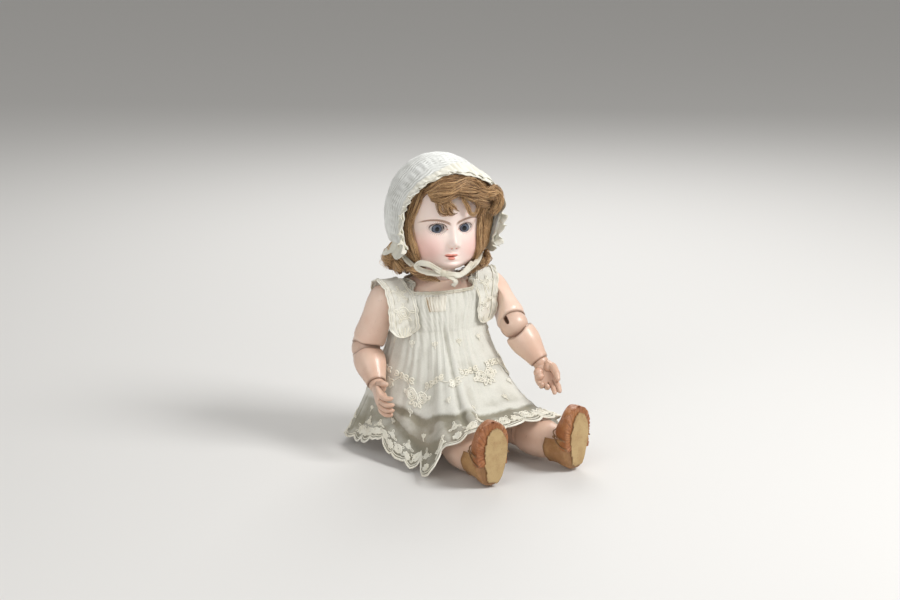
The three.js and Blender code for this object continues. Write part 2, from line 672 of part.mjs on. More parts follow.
// The frill follows the bonnet's edge: over the forehead, down both cheeks and round the nape.
function bonnetEdge() {
  const out = HAIR * HAIR_FULL + BONNET_GAP + BONNET_CLOTH + SEAT_GAP;
  const arch = [1, 0.98, 0.9, 0.76, 0.56, 0.3, 0].map((share) => {
    const z = THREE.MathUtils.lerp(BONNET_NAPE_Z, BONNET_ARCH_Z, share);
    const [, half, front] = between(HEAD_SECTIONS, z);
    const reach = Math.max(0, 1 - (BONNET_FRONT_Y / (front + out)) ** 2);
    return v((half + out) * Math.sqrt(reach), BONNET_FRONT_Y, z);
  });
  arch[0].x = 0;
  const nape = [75, 100, 128, 155].map((degrees) => headPoint(BONNET_NAPE_Z, radians(degrees), out, false));
  const left = [...arch.slice(1), ...nape];
  const right = left.map((point) => v(-point.x, point.y, point.z)).reverse();
  const back = headPoint(BONNET_NAPE_Z, Math.PI, out, false);
  return new THREE.CatmullRomCurve3([arch[0], ...left, back, ...right], true);
}

function frillSolid() {
  const edge = bonnetEdge();
  const hub = v(0, 20, (BONNET_NAPE_Z + BONNET_ARCH_Z) / 2);
  const steps = FRILL_WAVES * 3;
  const rows = Array.from({ length: steps }, (_, k) => {
    const base = edge.getPointAt(k / steps);
    const lower = THREE.MathUtils.smoothstep(base.y, BONNET_FRONT_Y + 1, BONNET_FRONT_Y + 30);
    const away = base.clone().sub(hub);
    const round = v(away.x, away.y * lower, away.z * (1 - lower)).normalize();
    const forward = v(0, -1, 0).lerp(v(0, 0, -1), lower);
    const wave = FRILL_WAVE * Math.sin((2 * Math.PI * FRILL_WAVES * k) / steps);
    const thick = round.clone().multiplyScalar(BONNET_CLOTH);
    const near = base.clone().addScaledVector(forward, -FRILL_LAP);
    const tip = base.clone().addScaledVector(forward, FRILL_DEPTH).addScaledVector(round, FRILL_FLARE + wave);
    return [near, tip, tip.clone().add(thick), near.clone().add(thick)];
  });
  return skin(rows, true);
}
piece(head, 'bonnet_frill', cut(
  frillSolid(), bonnetRoom(BONNET_GAP + BONNET_CLOTH + SEAT_GAP, SEAT_GAP),
), COTTON);

// Tape tie under the chin, with its bow to one side.
const KNOT = v(-14, -41.5, 159);
const tieBand = taper([
  v(-41.4, -25, 186), v(-38, -32, 172), v(-28, -38.5, 162.5), KNOT, v(2, -41.5, 157.5), v(18, -37.5, 160.5),
  v(33, -31, 169), v(41.4, -25, 186),
], [1.4, 1.9, 2.4, 2.6, 2.4, 2.2, 1.9, 1.4], 5, 8);
const fromKnot = (x, y, z) => KNOT.clone().add(v(x, y, z));
const bowLoop = tube([
  KNOT, fromKnot(-7, -1.5, 3), fromKnot(-14, 0, 7.5), fromKnot(-18, 3, 6),
  fromKnot(-15, 1.4, 1), fromKnot(-8, -0.8, -1.5), KNOT,
], TAPE_THICK, 4, 8);
const bowTail = taper([KNOT, fromKnot(9, -3, -4), fromKnot(17, -2, -3.5)], [2, 2.2, 1.8], 5, 3);
const bowKnot = ball(3.6, 7, 5).translate(KNOT.x, KNOT.y, KNOT.z);
piece(head, 'bonnet_tie', join(tieBand, bowLoop, bowTail, bowKnot), COTTON);

// Arms.
function bendCut(own, other, reachFrom) {
  const line = own.clone().normalize();
  const inner = other.clone().addScaledVector(line, -other.dot(line)).normalize();
  const edge = line.clone().multiplyScalar(Math.cos(radians(BEND_CUT)))
    .addScaledVector(inner, Math.sin(radians(BEND_CUT)));
  const hinge = line.clone().cross(inner);
  const away = edge.clone().cross(hinge);
  const sign = away.dot(line) < 0 ? 1 : -1;
  const slab = box(v(-REACH, -REACH, -0.2), v(REACH, REACH, REACH));
  return slab.applyMatrix4(frameAt(reachFrom, away.multiplyScalar(sign), hinge));
}

function toLocal(geometry, frame) {
  return geometry.applyMatrix4(frame.clone().invert());
}

// A wire eye on a straight shank, from a height on the local Z axis towards smaller heights.
function staple(top) {
  const eye = new THREE.TorusGeometry(STAPLE_EYE, STAPLE_WIRE, 5, 9).rotateX(Math.PI / 2);
  eye.translate(0, 0, top - STAPLE_LENGTH);
  return join(eye, bar(STAPLE_WIRE, top - STAPLE_LENGTH + STAPLE_EYE, top, 6));
}
const STAPLE_ROOM = STAPLE_LENGTH + STAPLE_EYE + STAPLE_WIRE + SEAT_GAP;

function slottedBall(radius, slotWay) {
  const slot = box(v(-1.9, -1.9, -radius * 0.25), v(1.9, radius * 0.9, REACH));
  slot.applyMatrix4(frameAt(v(0, 0, 0), slotWay, v(1, 0, 0.01)));
  return cut(ball(radius), slot);
}

function handSolid(side) {
  const thumb = -SIDES[side];
  const palm = limbSolid([
    [2, 6.3, 5.8], [6, 6.6, 5.4], [10, 8.2, 5.2], [15, 9.4, 5], [19, 9.6, 4.6], [22, 8.6, 3.6],
  ], 8);
  const fingers = [-6.8, -2.3, 2.3, 6.7].map((x, i) => {
    const long = HAND_LENGTH - 19 - [1.6, 0.2, 0, 3][thumb > 0 ? 3 - i : i];
    const curl = 3.2 + 0.9 * (thumb > 0 ? 3 - i : i);
    return taper([
      v(x, 0.4, 17), v(x * 1.04, 0.6, 19 + long * 0.45),
      v(x * 1.02, -curl * 0.5, 19 + long * 0.8), v(x, -curl, 19 + long),
    ], [2.5, 2.45, 2.2, 1.5], 5, 3);
  });
  const thumbLine = [
    v(thumb * 5, -1.5, 7), v(thumb * 9.6, -3, 12), v(thumb * 10.6, -4.6, 17.5), v(thumb * 9.6, -5.6, 21),
  ];
  const tools = [...fingers, taper(thumbLine, [3, 2.9, 2.5, 1.6], 6, 3), ball(WRIST_BALL, 9, 6)];
  return join(palm, ...tools);
}

function buildArm(side) {
  const ways = ARM_WAYS[side];
  const arm = group(`arm_${side}`, doll);
  const shoulder = mirrored(SHOULDER, side);
  const elbow = shoulder.clone().addScaledVector(ways.upper.clone().normalize(), UPPER_ARM);
  const wrist = elbow.clone().addScaledVector(ways.lower.clone().normalize(), FOREARM);
  const inside = v(-SIDES[side], 0, 0);
  const natural = side === 'right' ? 1 : -1;
  const upperFrame = frameAt(shoulder, ways.upper, inside);
  const lowerFrame = frameAt(elbow, ways.lower, inside);
  const handFrame = frameAt(wrist, ways.hand, inside);
  const at = (place) => new THREE.Matrix4().setPosition(place);

  const through = rodBetween(v(-2 * SHOULDER_BALL, 0, 0), v(2 * SHOULDER_BALL, 0, 0), CORD_BORE - 1);
  piece(arm, `shoulder_ball_${side}`, cut(ball(SHOULDER_BALL), through), BALL_WOOD, at(shoulder));

  const flat = shoulder.x - SIDES[side] * ARM_FACE;
  const innerSide = side === 'left'
    ? box(v(flat - REACH, -REACH, 0), v(flat, REACH, REACH * 3))
    : box(v(flat, -REACH, 0), v(flat + REACH, REACH, REACH * 3));
  const upBend = ways.lower.clone().multiplyScalar(natural);
  const upper = limbSolid([
    [-13.8, 3], [-11.8, 8.4], [-6.4, 12.6], [3, 14.2], [16, 14], [33, 14.5], [39.9, 13.2],
  ]);
  piece(arm, `upper_arm_${side}`, cut(
    upper, toLocal(innerSide, upperFrame), cup(SHOULDER_BALL),
    cup(ELBOW_BALL).translate(0, 0, UPPER_ARM), bar(LIMB_BORE, 0, UPPER_ARM, 8),
    toLocal(bendCut(ways.upper.clone().negate(), upBend, elbow), upperFrame),
  ), COMPOSITION, upperFrame);
  piece(arm, `upper_arm_elastic_${side}`,
    bar(CORD_RADIUS, SHOULDER_BALL + SEAT_GAP, UPPER_ARM - ELBOW_BALL - SEAT_GAP, 7), ELASTIC, upperFrame);

  const slotWay = ways.upper.clone().negate().normalize()
    .addScaledVector(ways.lower.clone().normalize(), 0.55);
  piece(arm, `elbow_ball_${side}`, slottedBall(ELBOW_BALL, slotWay), BALL_WOOD, at(elbow));

  const downBend = ways.upper.clone().negate().multiplyScalar(natural);
  const lower = limbSolid([
    [8.8, 13.1], [11, 13.9], [18, 13.6], [28, 11.2], [36.8, 8.8], [38.2, 8.2],
  ]);
  piece(arm, `forearm_${side}`, cut(
    lower, cup(ELBOW_BALL), cup(WRIST_BALL).translate(0, 0, FOREARM), bar(LIMB_BORE, 0, FOREARM, 8),
    toLocal(bendCut(ways.lower, downBend, elbow), lowerFrame),
  ), COMPOSITION, lowerFrame);
  const stapleTop = FOREARM - WRIST_BALL - SEAT_GAP;
  piece(arm, `forearm_elastic_${side}`,
    bar(CORD_RADIUS, ELBOW_BALL + SEAT_GAP, stapleTop - STAPLE_ROOM, 7), ELASTIC, lowerFrame);
  piece(arm, `hand_hook_${side}`, staple(stapleTop), STEEL, lowerFrame);
  piece(arm, `hand_${side}`, handSolid(side), COMPOSITION, handFrame);
}
Object.keys(SIDES).forEach(buildArm);

// Legs. A foot's own frame has Z along the leg towards the sole and X towards the toe.
function footRows(out) {
  const length = HEEL + TOE + 2 * out;
  return [0, 0.06, 0.25, 0.5, 0.72, 0.91, 1].map((share) => {
    const along = -HEEL - out + length * share;
    const round = Math.sqrt(Math.max(0.05, 1 - Math.abs(2 * share - 1) ** 5));
    const waist = 0.9 + 0.1 * Math.cos(Math.PI * 2 * (share - 0.68));
    const half = (FOOT_HALF * waist + out) * round;
    const high = 9.5 + 10.5 * THREE.MathUtils.smoothstep(0.9 - share, 0, 0.55) + out;
    return turnAngles(10).map((angle) => {
      const lift = Math.cos(angle);
      const flat = lift < 0 ? Math.max(lift * 2.6, -1) : lift ** 0.8;
      const y = half * Math.sign(Math.sin(angle)) * Math.abs(Math.sin(angle)) ** 0.75;
      return v(along, y, lift < 0 ? SHIN - flat * out : SHIN - flat * high * (0.72 + 0.28 * round));
    });
  });
}

const soleOutline = (inset) => {
  const outline = new THREE.Shape();
  const [low, high] = [-HEEL - VAMP_LEATHER + inset, TOE + VAMP_LEATHER - inset];
  const half = FOOT_HALF + VAMP_LEATHER - inset;
  const heelHalf = half * 0.86;
  outline.moveTo(low + heelHalf, -heelHalf);
  outline.quadraticCurveTo((low + high) / 2, -half * 0.86, high - half, -half);
  outline.absarc(high - half, 0, half, -Math.PI / 2, Math.PI / 2);
  outline.quadraticCurveTo((low + high) / 2, half * 0.86, low + heelHalf, heelHalf);
  outline.absarc(low + heelHalf, 0, heelHalf, Math.PI / 2, (3 * Math.PI) / 2);
  return outline;
};

// The heel quarter: a band round the heel, open towards the toe.
function quarterSolid() {
  const inner = FOOT_HALF + VAMP_LEATHER + SEAT_GAP + 0.5;
  const outer = inner + QUARTER_LEATHER;
  const front = QUARTER_FRONT;
  const outline = new THREE.Shape();
  const middle = -HEEL - VAMP_LEATHER - SEAT_GAP + inner - 0.5;
  outline.moveTo(front, -outer);
  outline.lineTo(front, -inner);
  outline.lineTo(middle, -inner);
  outline.absarc(middle, 0, inner, (3 * Math.PI) / 2, Math.PI / 2, true);
  outline.lineTo(front, inner);
  outline.lineTo(front, outer);
  outline.lineTo(middle, outer);
  outline.absarc(middle, 0, outer, Math.PI / 2, (3 * Math.PI) / 2);
  outline.closePath();
  const tall = { depth: QUARTER_HEIGHT, bevelEnabled: false, curveSegments: 9 };
  const band = new THREE.ExtrudeGeometry(outline, tall);
  band.translate(0, 0, SHIN + VAMP_LEATHER - QUARTER_HEIGHT);
  const slope = box(v(0, -REACH, -REACH), v(REACH, REACH, 0))
    .rotateY(radians(-24)).translate(-6, 0, SHIN + VAMP_LEATHER - QUARTER_HEIGHT);
  return cut(band, slope);
}

// A lace from one front edge of the quarter over the instep to the other.
function laceSolid() {
  const side = FOOT_HALF + VAMP_LEATHER + 2 * SEAT_GAP + 0.8 + QUARTER_LEATHER + LACE_RADIUS;
  const half = [
    v(QUARTER_FRONT - 3, side, SHIN - 9), v(QUARTER_FRONT + 3.5, side - 1.6, SHIN - 13),
    v(13.5, 9.5, SHIN - 18.4),
  ];
  const other = half.map((point) => v(point.x, -point.y, point.z)).reverse();
  return tube([...half, v(15, 0, SHIN - 20.4), ...other], LACE_RADIUS, 4, 10);
}

function buildLeg(side) {
  const leg = group(`leg_${side}`, doll);
  const splay = radians(LEG_SPLAY[side]) * SIDES[side];
  const way = v(Math.sin(splay), -Math.cos(splay), LEG_SLOPE).normalize();
  const hip = mirrored(HIP, side);
  const knee = hip.clone().addScaledVector(way, THIGH);
  const up = v(0, 0, 1);
  const thighFrame = frameAt(hip, way, up);
  const shinFrame = frameAt(knee, way, up);
  const at = (place) => new THREE.Matrix4().setPosition(place);
  const cord = (low, high) => bar(CORD_RADIUS, low + SEAT_GAP, high - SEAT_GAP, 7);

  piece(leg, `hip_ball_${side}`, cut(ball(HIP_BALL, 12, 8), bar(CORD_BORE, -30, 30, 9)), BALL_WOOD, at(hip));
  const backOfKnee = v(0, 0, -1);
  const thigh = limbSolid([
    [11.2, 18.6], [14, 20.4], [22, 20.9], [36, 19.4], [48.6, 17.6], [51, 16.4],
  ], 14);
  piece(leg, `thigh_${side}`, cut(
    thigh, cup(HIP_BALL), cup(KNEE_BALL).translate(0, 0, THIGH), bar(LIMB_BORE, 0, THIGH, 8),
    toLocal(bendCut(way.clone().negate(), backOfKnee, knee), thighFrame),
  ), COMPOSITION, thighFrame);
  piece(leg, `thigh_elastic_${side}`, cord(HIP_BALL, THIGH - KNEE_BALL), ELASTIC, thighFrame);
  const kneeSlot = way.clone().negate().add(v(0, 0, -0.4));
  piece(leg, `knee_ball_${side}`, slottedBall(KNEE_BALL, kneeSlot), BALL_WOOD, at(knee));

  const calf = limbSolid([
    [10.6, 15.8], [13, 17.1], [21, 17.6], [32, 16.6], [42, 14.8], [53, 13.2], [SHIN - 0.4, 10.5],
  ], 12);
  piece(leg, `lower_leg_${side}`, cut(
    join(calf, skin(footRows(0))), cup(KNEE_BALL), bar(LIMB_BORE, 0, SHIN_BORE, 8),
    toLocal(bendCut(way, backOfKnee, knee), shinFrame),
  ), COMPOSITION, shinFrame);
  piece(leg, `shin_elastic_${side}`, cord(KNEE_BALL, SHIN_BORE - STAPLE_ROOM), ELASTIC, shinFrame);
  piece(leg, `shin_hook_${side}`, staple(SHIN_BORE - SEAT_GAP), STEEL, shinFrame);

  const opening = box(v(-REACH, -REACH, -REACH), v(REACH, REACH, SHIN - VAMP_TOP));
  const legHole = limbSolid([[20, 19], [42, 15.6], [53, 14], [SHIN - 0.2, 11]], 12);
  const upper = skin(footRows(VAMP_LEATHER + SEAT_GAP));
  piece(leg, `shoe_vamp_${side}`, cut(upper, skin(footRows(SEAT_GAP)), legHole, opening), LEATHER, shinFrame);
  piece(leg, `shoe_quarter_${side}`, quarterSolid(), PALE_LEATHER, shinFrame);
  piece(leg, `shoe_lace_${side}`, laceSolid(), PALE_LEATHER, shinFrame);
  const flat = { depth: SOLE_THICK, bevelEnabled: false, curveSegments: 5 };
  const sole = new THREE.ExtrudeGeometry(soleOutline(SOLE_MARGIN), flat);
  piece(leg, `shoe_sole_${side}`, sole, SOLE_LEATHER,
    shinFrame.clone().multiply(at(v(0, 0, SHIN + VAMP_LEATHER + 2 * SEAT_GAP))));
}
Object.keys(SIDES).forEach(buildLeg);

// Dress: rings from the neck to the chest, then out and down to the hem.
const HEM_STEPS = 720;
const hemPlaces = new THREE.CatmullRomCurve3(HEM_POINTS, true).getPoints(HEM_STEPS);
const turnFrom = (place, angle) => Math.abs(Math.atan2(place.x, -place.y) - angle);
const hemAt = (angle) => hemPlaces.reduce((best, place) =>
  (turnFrom(place, angle) < turnFrom(best, angle) ? place : best));

// How steeply the cloth falls before it spreads: it sags more over the lap than at the sides.
const fallPower = (angle) => 1.25 + 0.75 * Math.max(0, Math.cos(angle)) ** 2;

// Two runs of folds that grow towards the hem, unevenly spaced and deeper behind.
function foldDepth(angle, share) {
  const uneven = angle + 0.16 * Math.sin(2 * angle + 0.7) + 0.07 * Math.sin(5 * angle + 2.1);
  const behind = 0.42 + 0.29 * (1 - Math.cos(angle));
  const wave = 0.6 * Math.sin(9 * uneven + 0.6) + 0.45 * Math.sin(14 * uneven + 2.2 + 0.9 * share);
  return DRESS_FOLD * THREE.MathUtils.smoothstep(share, -0.3, 1) * behind * wave;
}

// A share of the way down the cloth, drawn up or let down where the hem is.
function drawnShare(angle, share) {
  const degrees = THREE.MathUtils.radToDeg(angle);
  const [, long] = between(HEM_SHARES, degrees);
  return share * (1 + (long - 1) * THREE.MathUtils.smoothstep(share, 0.45, 1));
}

function plainSkirt(angle, share) {
  const chest = onSection(DRESS_YOKE[DRESS_YOKE.length - 1], angle);
  const hem = hemAt(angle);
  const left = 1 - share;
  const drop = 1 - Math.sign(left) * Math.abs(left) ** fallPower(angle);
  return v(
    THREE.MathUtils.lerp(chest.x, hem.x, share), THREE.MathUtils.lerp(chest.y, hem.y, share),
    THREE.MathUtils.lerp(chest.z, hem.z, drop),
  );
}

// A point of the folded cloth, inset along the way out of its plain form.
function skirtPoint(angle, share, inset) {
  const step = 0.01;
  const across = plainSkirt(angle + step, share).sub(plainSkirt(angle - step, share));
  const down = plainSkirt(angle, share + step).sub(plainSkirt(angle, share - step));
  const out = across.cross(down).normalize();
  const outAndUp = v(Math.sin(angle), -Math.cos(angle), 0.3);
  const side = Math.sign(out.dot(outAndUp));
  const point = plainSkirt(angle, share);
  point.addScaledVector(out, side * (foldDepth(angle, share) - inset));
  point.z = Math.max(point.z, HEM_LIFT + CLOTH - Math.min(inset, CLOTH));
  return point;
}

// Angles round the skirt, closest together over the lap.
const skirtAngles = turnAngles(41).map((turn) => turn * (0.6 + 0.4 * Math.abs(turn / Math.PI)));

function dressRings(thick) {
  const yoke = DRESS_YOKE.map(([z, half, front, back]) =>
    skirtAngles.map((angle) => onSection([z, half - thick, front - thick, back - thick], angle)));
  const skirt = [0.12, 0.3, 0.52, 0.76, 1].map((share) =>
    skirtAngles.map((angle) => skirtPoint(angle, drawnShare(angle, share), thick)));
  return [...yoke, ...skirt];
}

function armhole(side) {
  const wide = 19;
  const high = 22;
  const hole = new THREE.CylinderGeometry(1, 1, 40, 16).rotateZ(Math.PI / 2);
  hole.scale(1, wide, high);
  return hole.translate(SIDES[side] * (SHOULDER.x + 3), SHOULDER.y - 1, SHOULDER.z - 5);
}
piece(doll, 'dress', cut(
  wall(dressRings(0), dressRings(CLOTH)), armhole('right'), armhole('left'),
), NET);

const slipRings = (thick) => [0.02, 0.26, SLIP_LENGTH].map((share) =>
  skirtAngles.map((angle) => skirtPoint(angle, share, SLIP_INSET + thick)));
piece(doll, 'slip', wall(slipRings(0), slipRings(CLOTH)), LINEN);

// Sleeve flaps: a scalloped strip over each shoulder, with a round lobe in front, lying on the dress.
function dressDepth(x, z, behind) {
  const [, half, front, back] = between(DRESS_YOKE, z);
  return (behind ? back : front) * Math.sqrt(Math.max(0, 1 - (x / half) ** 2));
}

function sleeveSolid(side) {
  const { front, top, back, half, drop } = SLEEVES[side];
  const steps = 14;
  const arc = Math.PI * SLEEVE_RADIUS;
  const total = drop + arc + drop * 0.6;
  const rows = Array.from({ length: steps + 1 }, (_, k) => {
    const run = (total * k) / steps - drop;
    const angle = THREE.MathUtils.clamp(run / SLEEVE_RADIUS, 0, Math.PI);
    const below = run < 0 ? -run : Math.max(0, run - arc);
    const lane = run < arc / 2
      ? THREE.MathUtils.lerp(front, top, THREE.MathUtils.smoothstep(run, -4, arc * 0.42))
      : THREE.MathUtils.lerp(top, back, THREE.MathUtils.smoothstep(run, arc / 2, arc));
    const nearEnd = Math.min(k, steps - k) / 2.6;
    const width = half * Math.sqrt(Math.max(0.12, 1 - Math.max(0, 1 - nearEnd) ** 2));
    const scallop = 0.8 * Math.cos(2.2 * k);
    const corner = (share, thick) => {
      const x = lane + THREE.MathUtils.lerp(-width, width + scallop, share);
      const radius = SLEEVE_RADIUS + thick;
      const z = SHOULDER.z + radius * Math.sin(angle) - below;
      const behind = angle > Math.PI / 2;
      const onDress = dressDepth(x, z, behind) + SLEEVE_LIFT + thick;
      const depth = Math.max(Math.abs(radius * Math.cos(angle)), onDress);
      return v(SIDES[side] * x, SHOULDER.y + (behind ? depth : -depth), z);
    };
    const shares = [0, 0.35, 0.7, 1];
    return [
      ...shares.map((share) => corner(share, 0)),
      ...shares.reverse().map((share) => corner(share, SLEEVE_CLOTH)),
    ];
  });
  return skin(rows);
}
for (const side of Object.keys(SIDES)) {
  piece(doll, `sleeve_${side}`, sleeveSolid(side), NET);
}

export default doll;
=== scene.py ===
"""Looks of a seated bisque doll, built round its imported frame.

Sizes are millimetres about the spine: it is the Z axis, the doll faces -Y and its right side is at -X.
"""

import logging
import math
from dataclasses import dataclass
from enum import Enum
from typing import Callable, Optional, Sequence, Union

import bpy
import numpy as np
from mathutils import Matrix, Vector

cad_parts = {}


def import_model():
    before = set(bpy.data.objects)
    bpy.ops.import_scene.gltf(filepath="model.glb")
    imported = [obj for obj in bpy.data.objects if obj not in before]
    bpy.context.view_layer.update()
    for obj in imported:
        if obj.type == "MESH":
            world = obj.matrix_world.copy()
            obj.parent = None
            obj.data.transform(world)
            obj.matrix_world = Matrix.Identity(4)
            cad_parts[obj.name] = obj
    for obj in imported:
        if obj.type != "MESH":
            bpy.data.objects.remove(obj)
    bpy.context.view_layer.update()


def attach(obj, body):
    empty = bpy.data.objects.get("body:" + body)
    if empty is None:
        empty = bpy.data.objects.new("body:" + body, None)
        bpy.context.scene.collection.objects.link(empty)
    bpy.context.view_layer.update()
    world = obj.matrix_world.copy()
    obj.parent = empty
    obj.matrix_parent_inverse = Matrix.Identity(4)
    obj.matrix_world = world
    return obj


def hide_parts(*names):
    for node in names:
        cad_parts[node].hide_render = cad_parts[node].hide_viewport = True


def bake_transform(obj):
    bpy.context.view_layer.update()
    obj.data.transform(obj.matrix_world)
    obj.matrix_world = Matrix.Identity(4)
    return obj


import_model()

MM = 0.001
SPINE_AHEAD = 18.0
SEED = 7
WELD = 2e-6
SCATTER = (0.006, 0.003, 0.002)

Array = np.ndarray
Colour = tuple[float, float, float]
Socket = bpy.types.NodeSocket
Piece = bpy.types.Object
Material = bpy.types.Material
Value = Union[float, "Signal"]

log = logging.getLogger("doll")


class Side(Enum):
    """A side of the doll's own body."""

    RIGHT = "right"
    LEFT = "left"

    @property
    def sign(self) -> float:
        """The way along X in which this side lies."""
        return -1.0 if self is Side.RIGHT else 1.0


def unit(way: Sequence[float]) -> Array:
    """A way of length one."""
    way = np.asarray(way, float)
    return way / np.linalg.norm(way)


def world(points: Array) -> Array:
    """Millimetres about the spine as metres of the frame."""
    return (np.asarray(points, float) + (0.0, -SPINE_AHEAD, 0.0)) * MM


def ease(low: float, high: float, value: Array) -> Array:
    """A smooth step from 0 at low to 1 at high."""
    t = np.clip((np.asarray(value, float) - low) / (high - low), 0.0, 1.0)
    return t * t * (3.0 - 2.0 * t)


def softly_over(first: Array, second: Array, soft: float | Array) -> Array:
    """The greater of two values, rounded where they cross."""
    return soft * np.logaddexp(first / soft, second / soft)


def bump(across: Array, up: Array, width: float, height: float) -> Array:
    """A round swelling of height one."""
    return np.exp(-((across / width) ** 2) - ((up / height) ** 2))


def bell(value: Array, width: Union[float, Array]) -> Array:
    """A round swelling of height one along a line."""
    return np.exp(-((value / width) ** 2))


def units(ways: Array) -> Array:
    """Rows of ways, each of length one."""
    return ways / (np.linalg.norm(ways, axis=1, keepdims=True) + 1e-9)


def ring_angles(count: int) -> Array:
    """Angles of a number of places round a ring."""
    return np.linspace(0.0, 2.0 * math.pi, count + 1)[:-1]


def places(*parts: Union[float, Array]) -> Array:
    """Places from their parts along each axis."""
    return np.stack(np.broadcast_arrays(*parts), axis=-1)


def grey(values: Array) -> Array:
    """A mark of three equal values for each place."""
    return np.repeat(values[..., None], 3, axis=-1)


def lying(angle: Array) -> Array:
    """Angles as degrees from -180 to 180."""
    return (np.degrees(angle) + 180.0) % 360.0 - 180.0


def level(line: Sequence[Sequence[float]], degrees: Array) -> Array:
    """How far down a line across the cloth lies at angles."""
    return np.interp(degrees, *np.array(line).T)


def through(rows: Sequence[Sequence[float]], at: Array) -> Array:
    """Values on smooth curves through rows.

    Args:
        rows: Rows of numbers, rising in their first column.
        at: Places along the first column.

    Returns:
        One row for each place, with the columns of the rows after the first.
    """
    table = np.asarray(rows, float)
    key, values = table[:, 0], table[:, 1:]
    at = np.clip(np.asarray(at, float), key[0], key[-1])
    i = np.clip(np.searchsorted(key, at, side="right") - 1, 0, len(key) - 2)
    before, after = np.maximum(i - 1, 0), np.minimum(i + 2, len(key) - 1)
    step = (key[i + 1] - key[i])[:, None]
    t = ((at - key[i]) / step[:, 0])[:, None]
    leave = (values[i + 1] - values[before]) / (key[i + 1] - key[before])[:, None] * step
    arrive = (values[after] - values[i]) / (key[after] - key[i])[:, None] * step
    return ((2 * t**3 - 3 * t**2 + 1) * values[i] + (t**3 - 2 * t**2 + t) * leave
            + (3 * t**2 - 2 * t**3) * values[i + 1] + (t**3 - t**2) * arrive)


def smooth_line(points: Sequence[Sequence[float]], count: int) -> Array:
    """A smooth line of a number of points through a few."""
    points = np.asarray(points, float)
    steps = np.concatenate([[0.0], np.cumsum(np.linalg.norm(np.diff(points, axis=0), axis=1) + 1e-6)])
    return through(np.column_stack([steps, points]), np.linspace(0.0, steps[-1], count))


def on_section(section: Array, angle: Array) -> tuple[Array, Array]:
    """Where a section of half width, front and back lies at angles from the front.

    Args:
        section: Half width, front and back, one row for each angle.
        angle: Angles from the front, rising towards the doll's left.

    Returns:
        The X and Y of each place.
    """
    ahead = np.cos(angle)
    depth = np.where(ahead > 0.0, section[:, 1], section[:, 2])
    return section[:, 0] * np.sin(angle), -ahead * depth


@dataclass(frozen=True)
class Axes:
    """A piece's own frame: its origin and unit axes about the spine."""

    origin: Array
    x: Array
    y: Array
    z: Array

    @classmethod
    def along(cls, origin: Sequence[float], way: Sequence[float], side: Sequence[float]) -> "Axes":
        """A frame with its Z along a way and its X as near to a side as can be."""
        z = unit(way)
        y = unit(np.cross(z, side))
        return cls(np.asarray(origin, float), np.cross(y, z), y, z)

    def out(self, local: Array) -> Array:
        """Local places, placed about the spine."""
        return self.origin + np.asarray(local, float) @ np.stack([self.x, self.y, self.z])


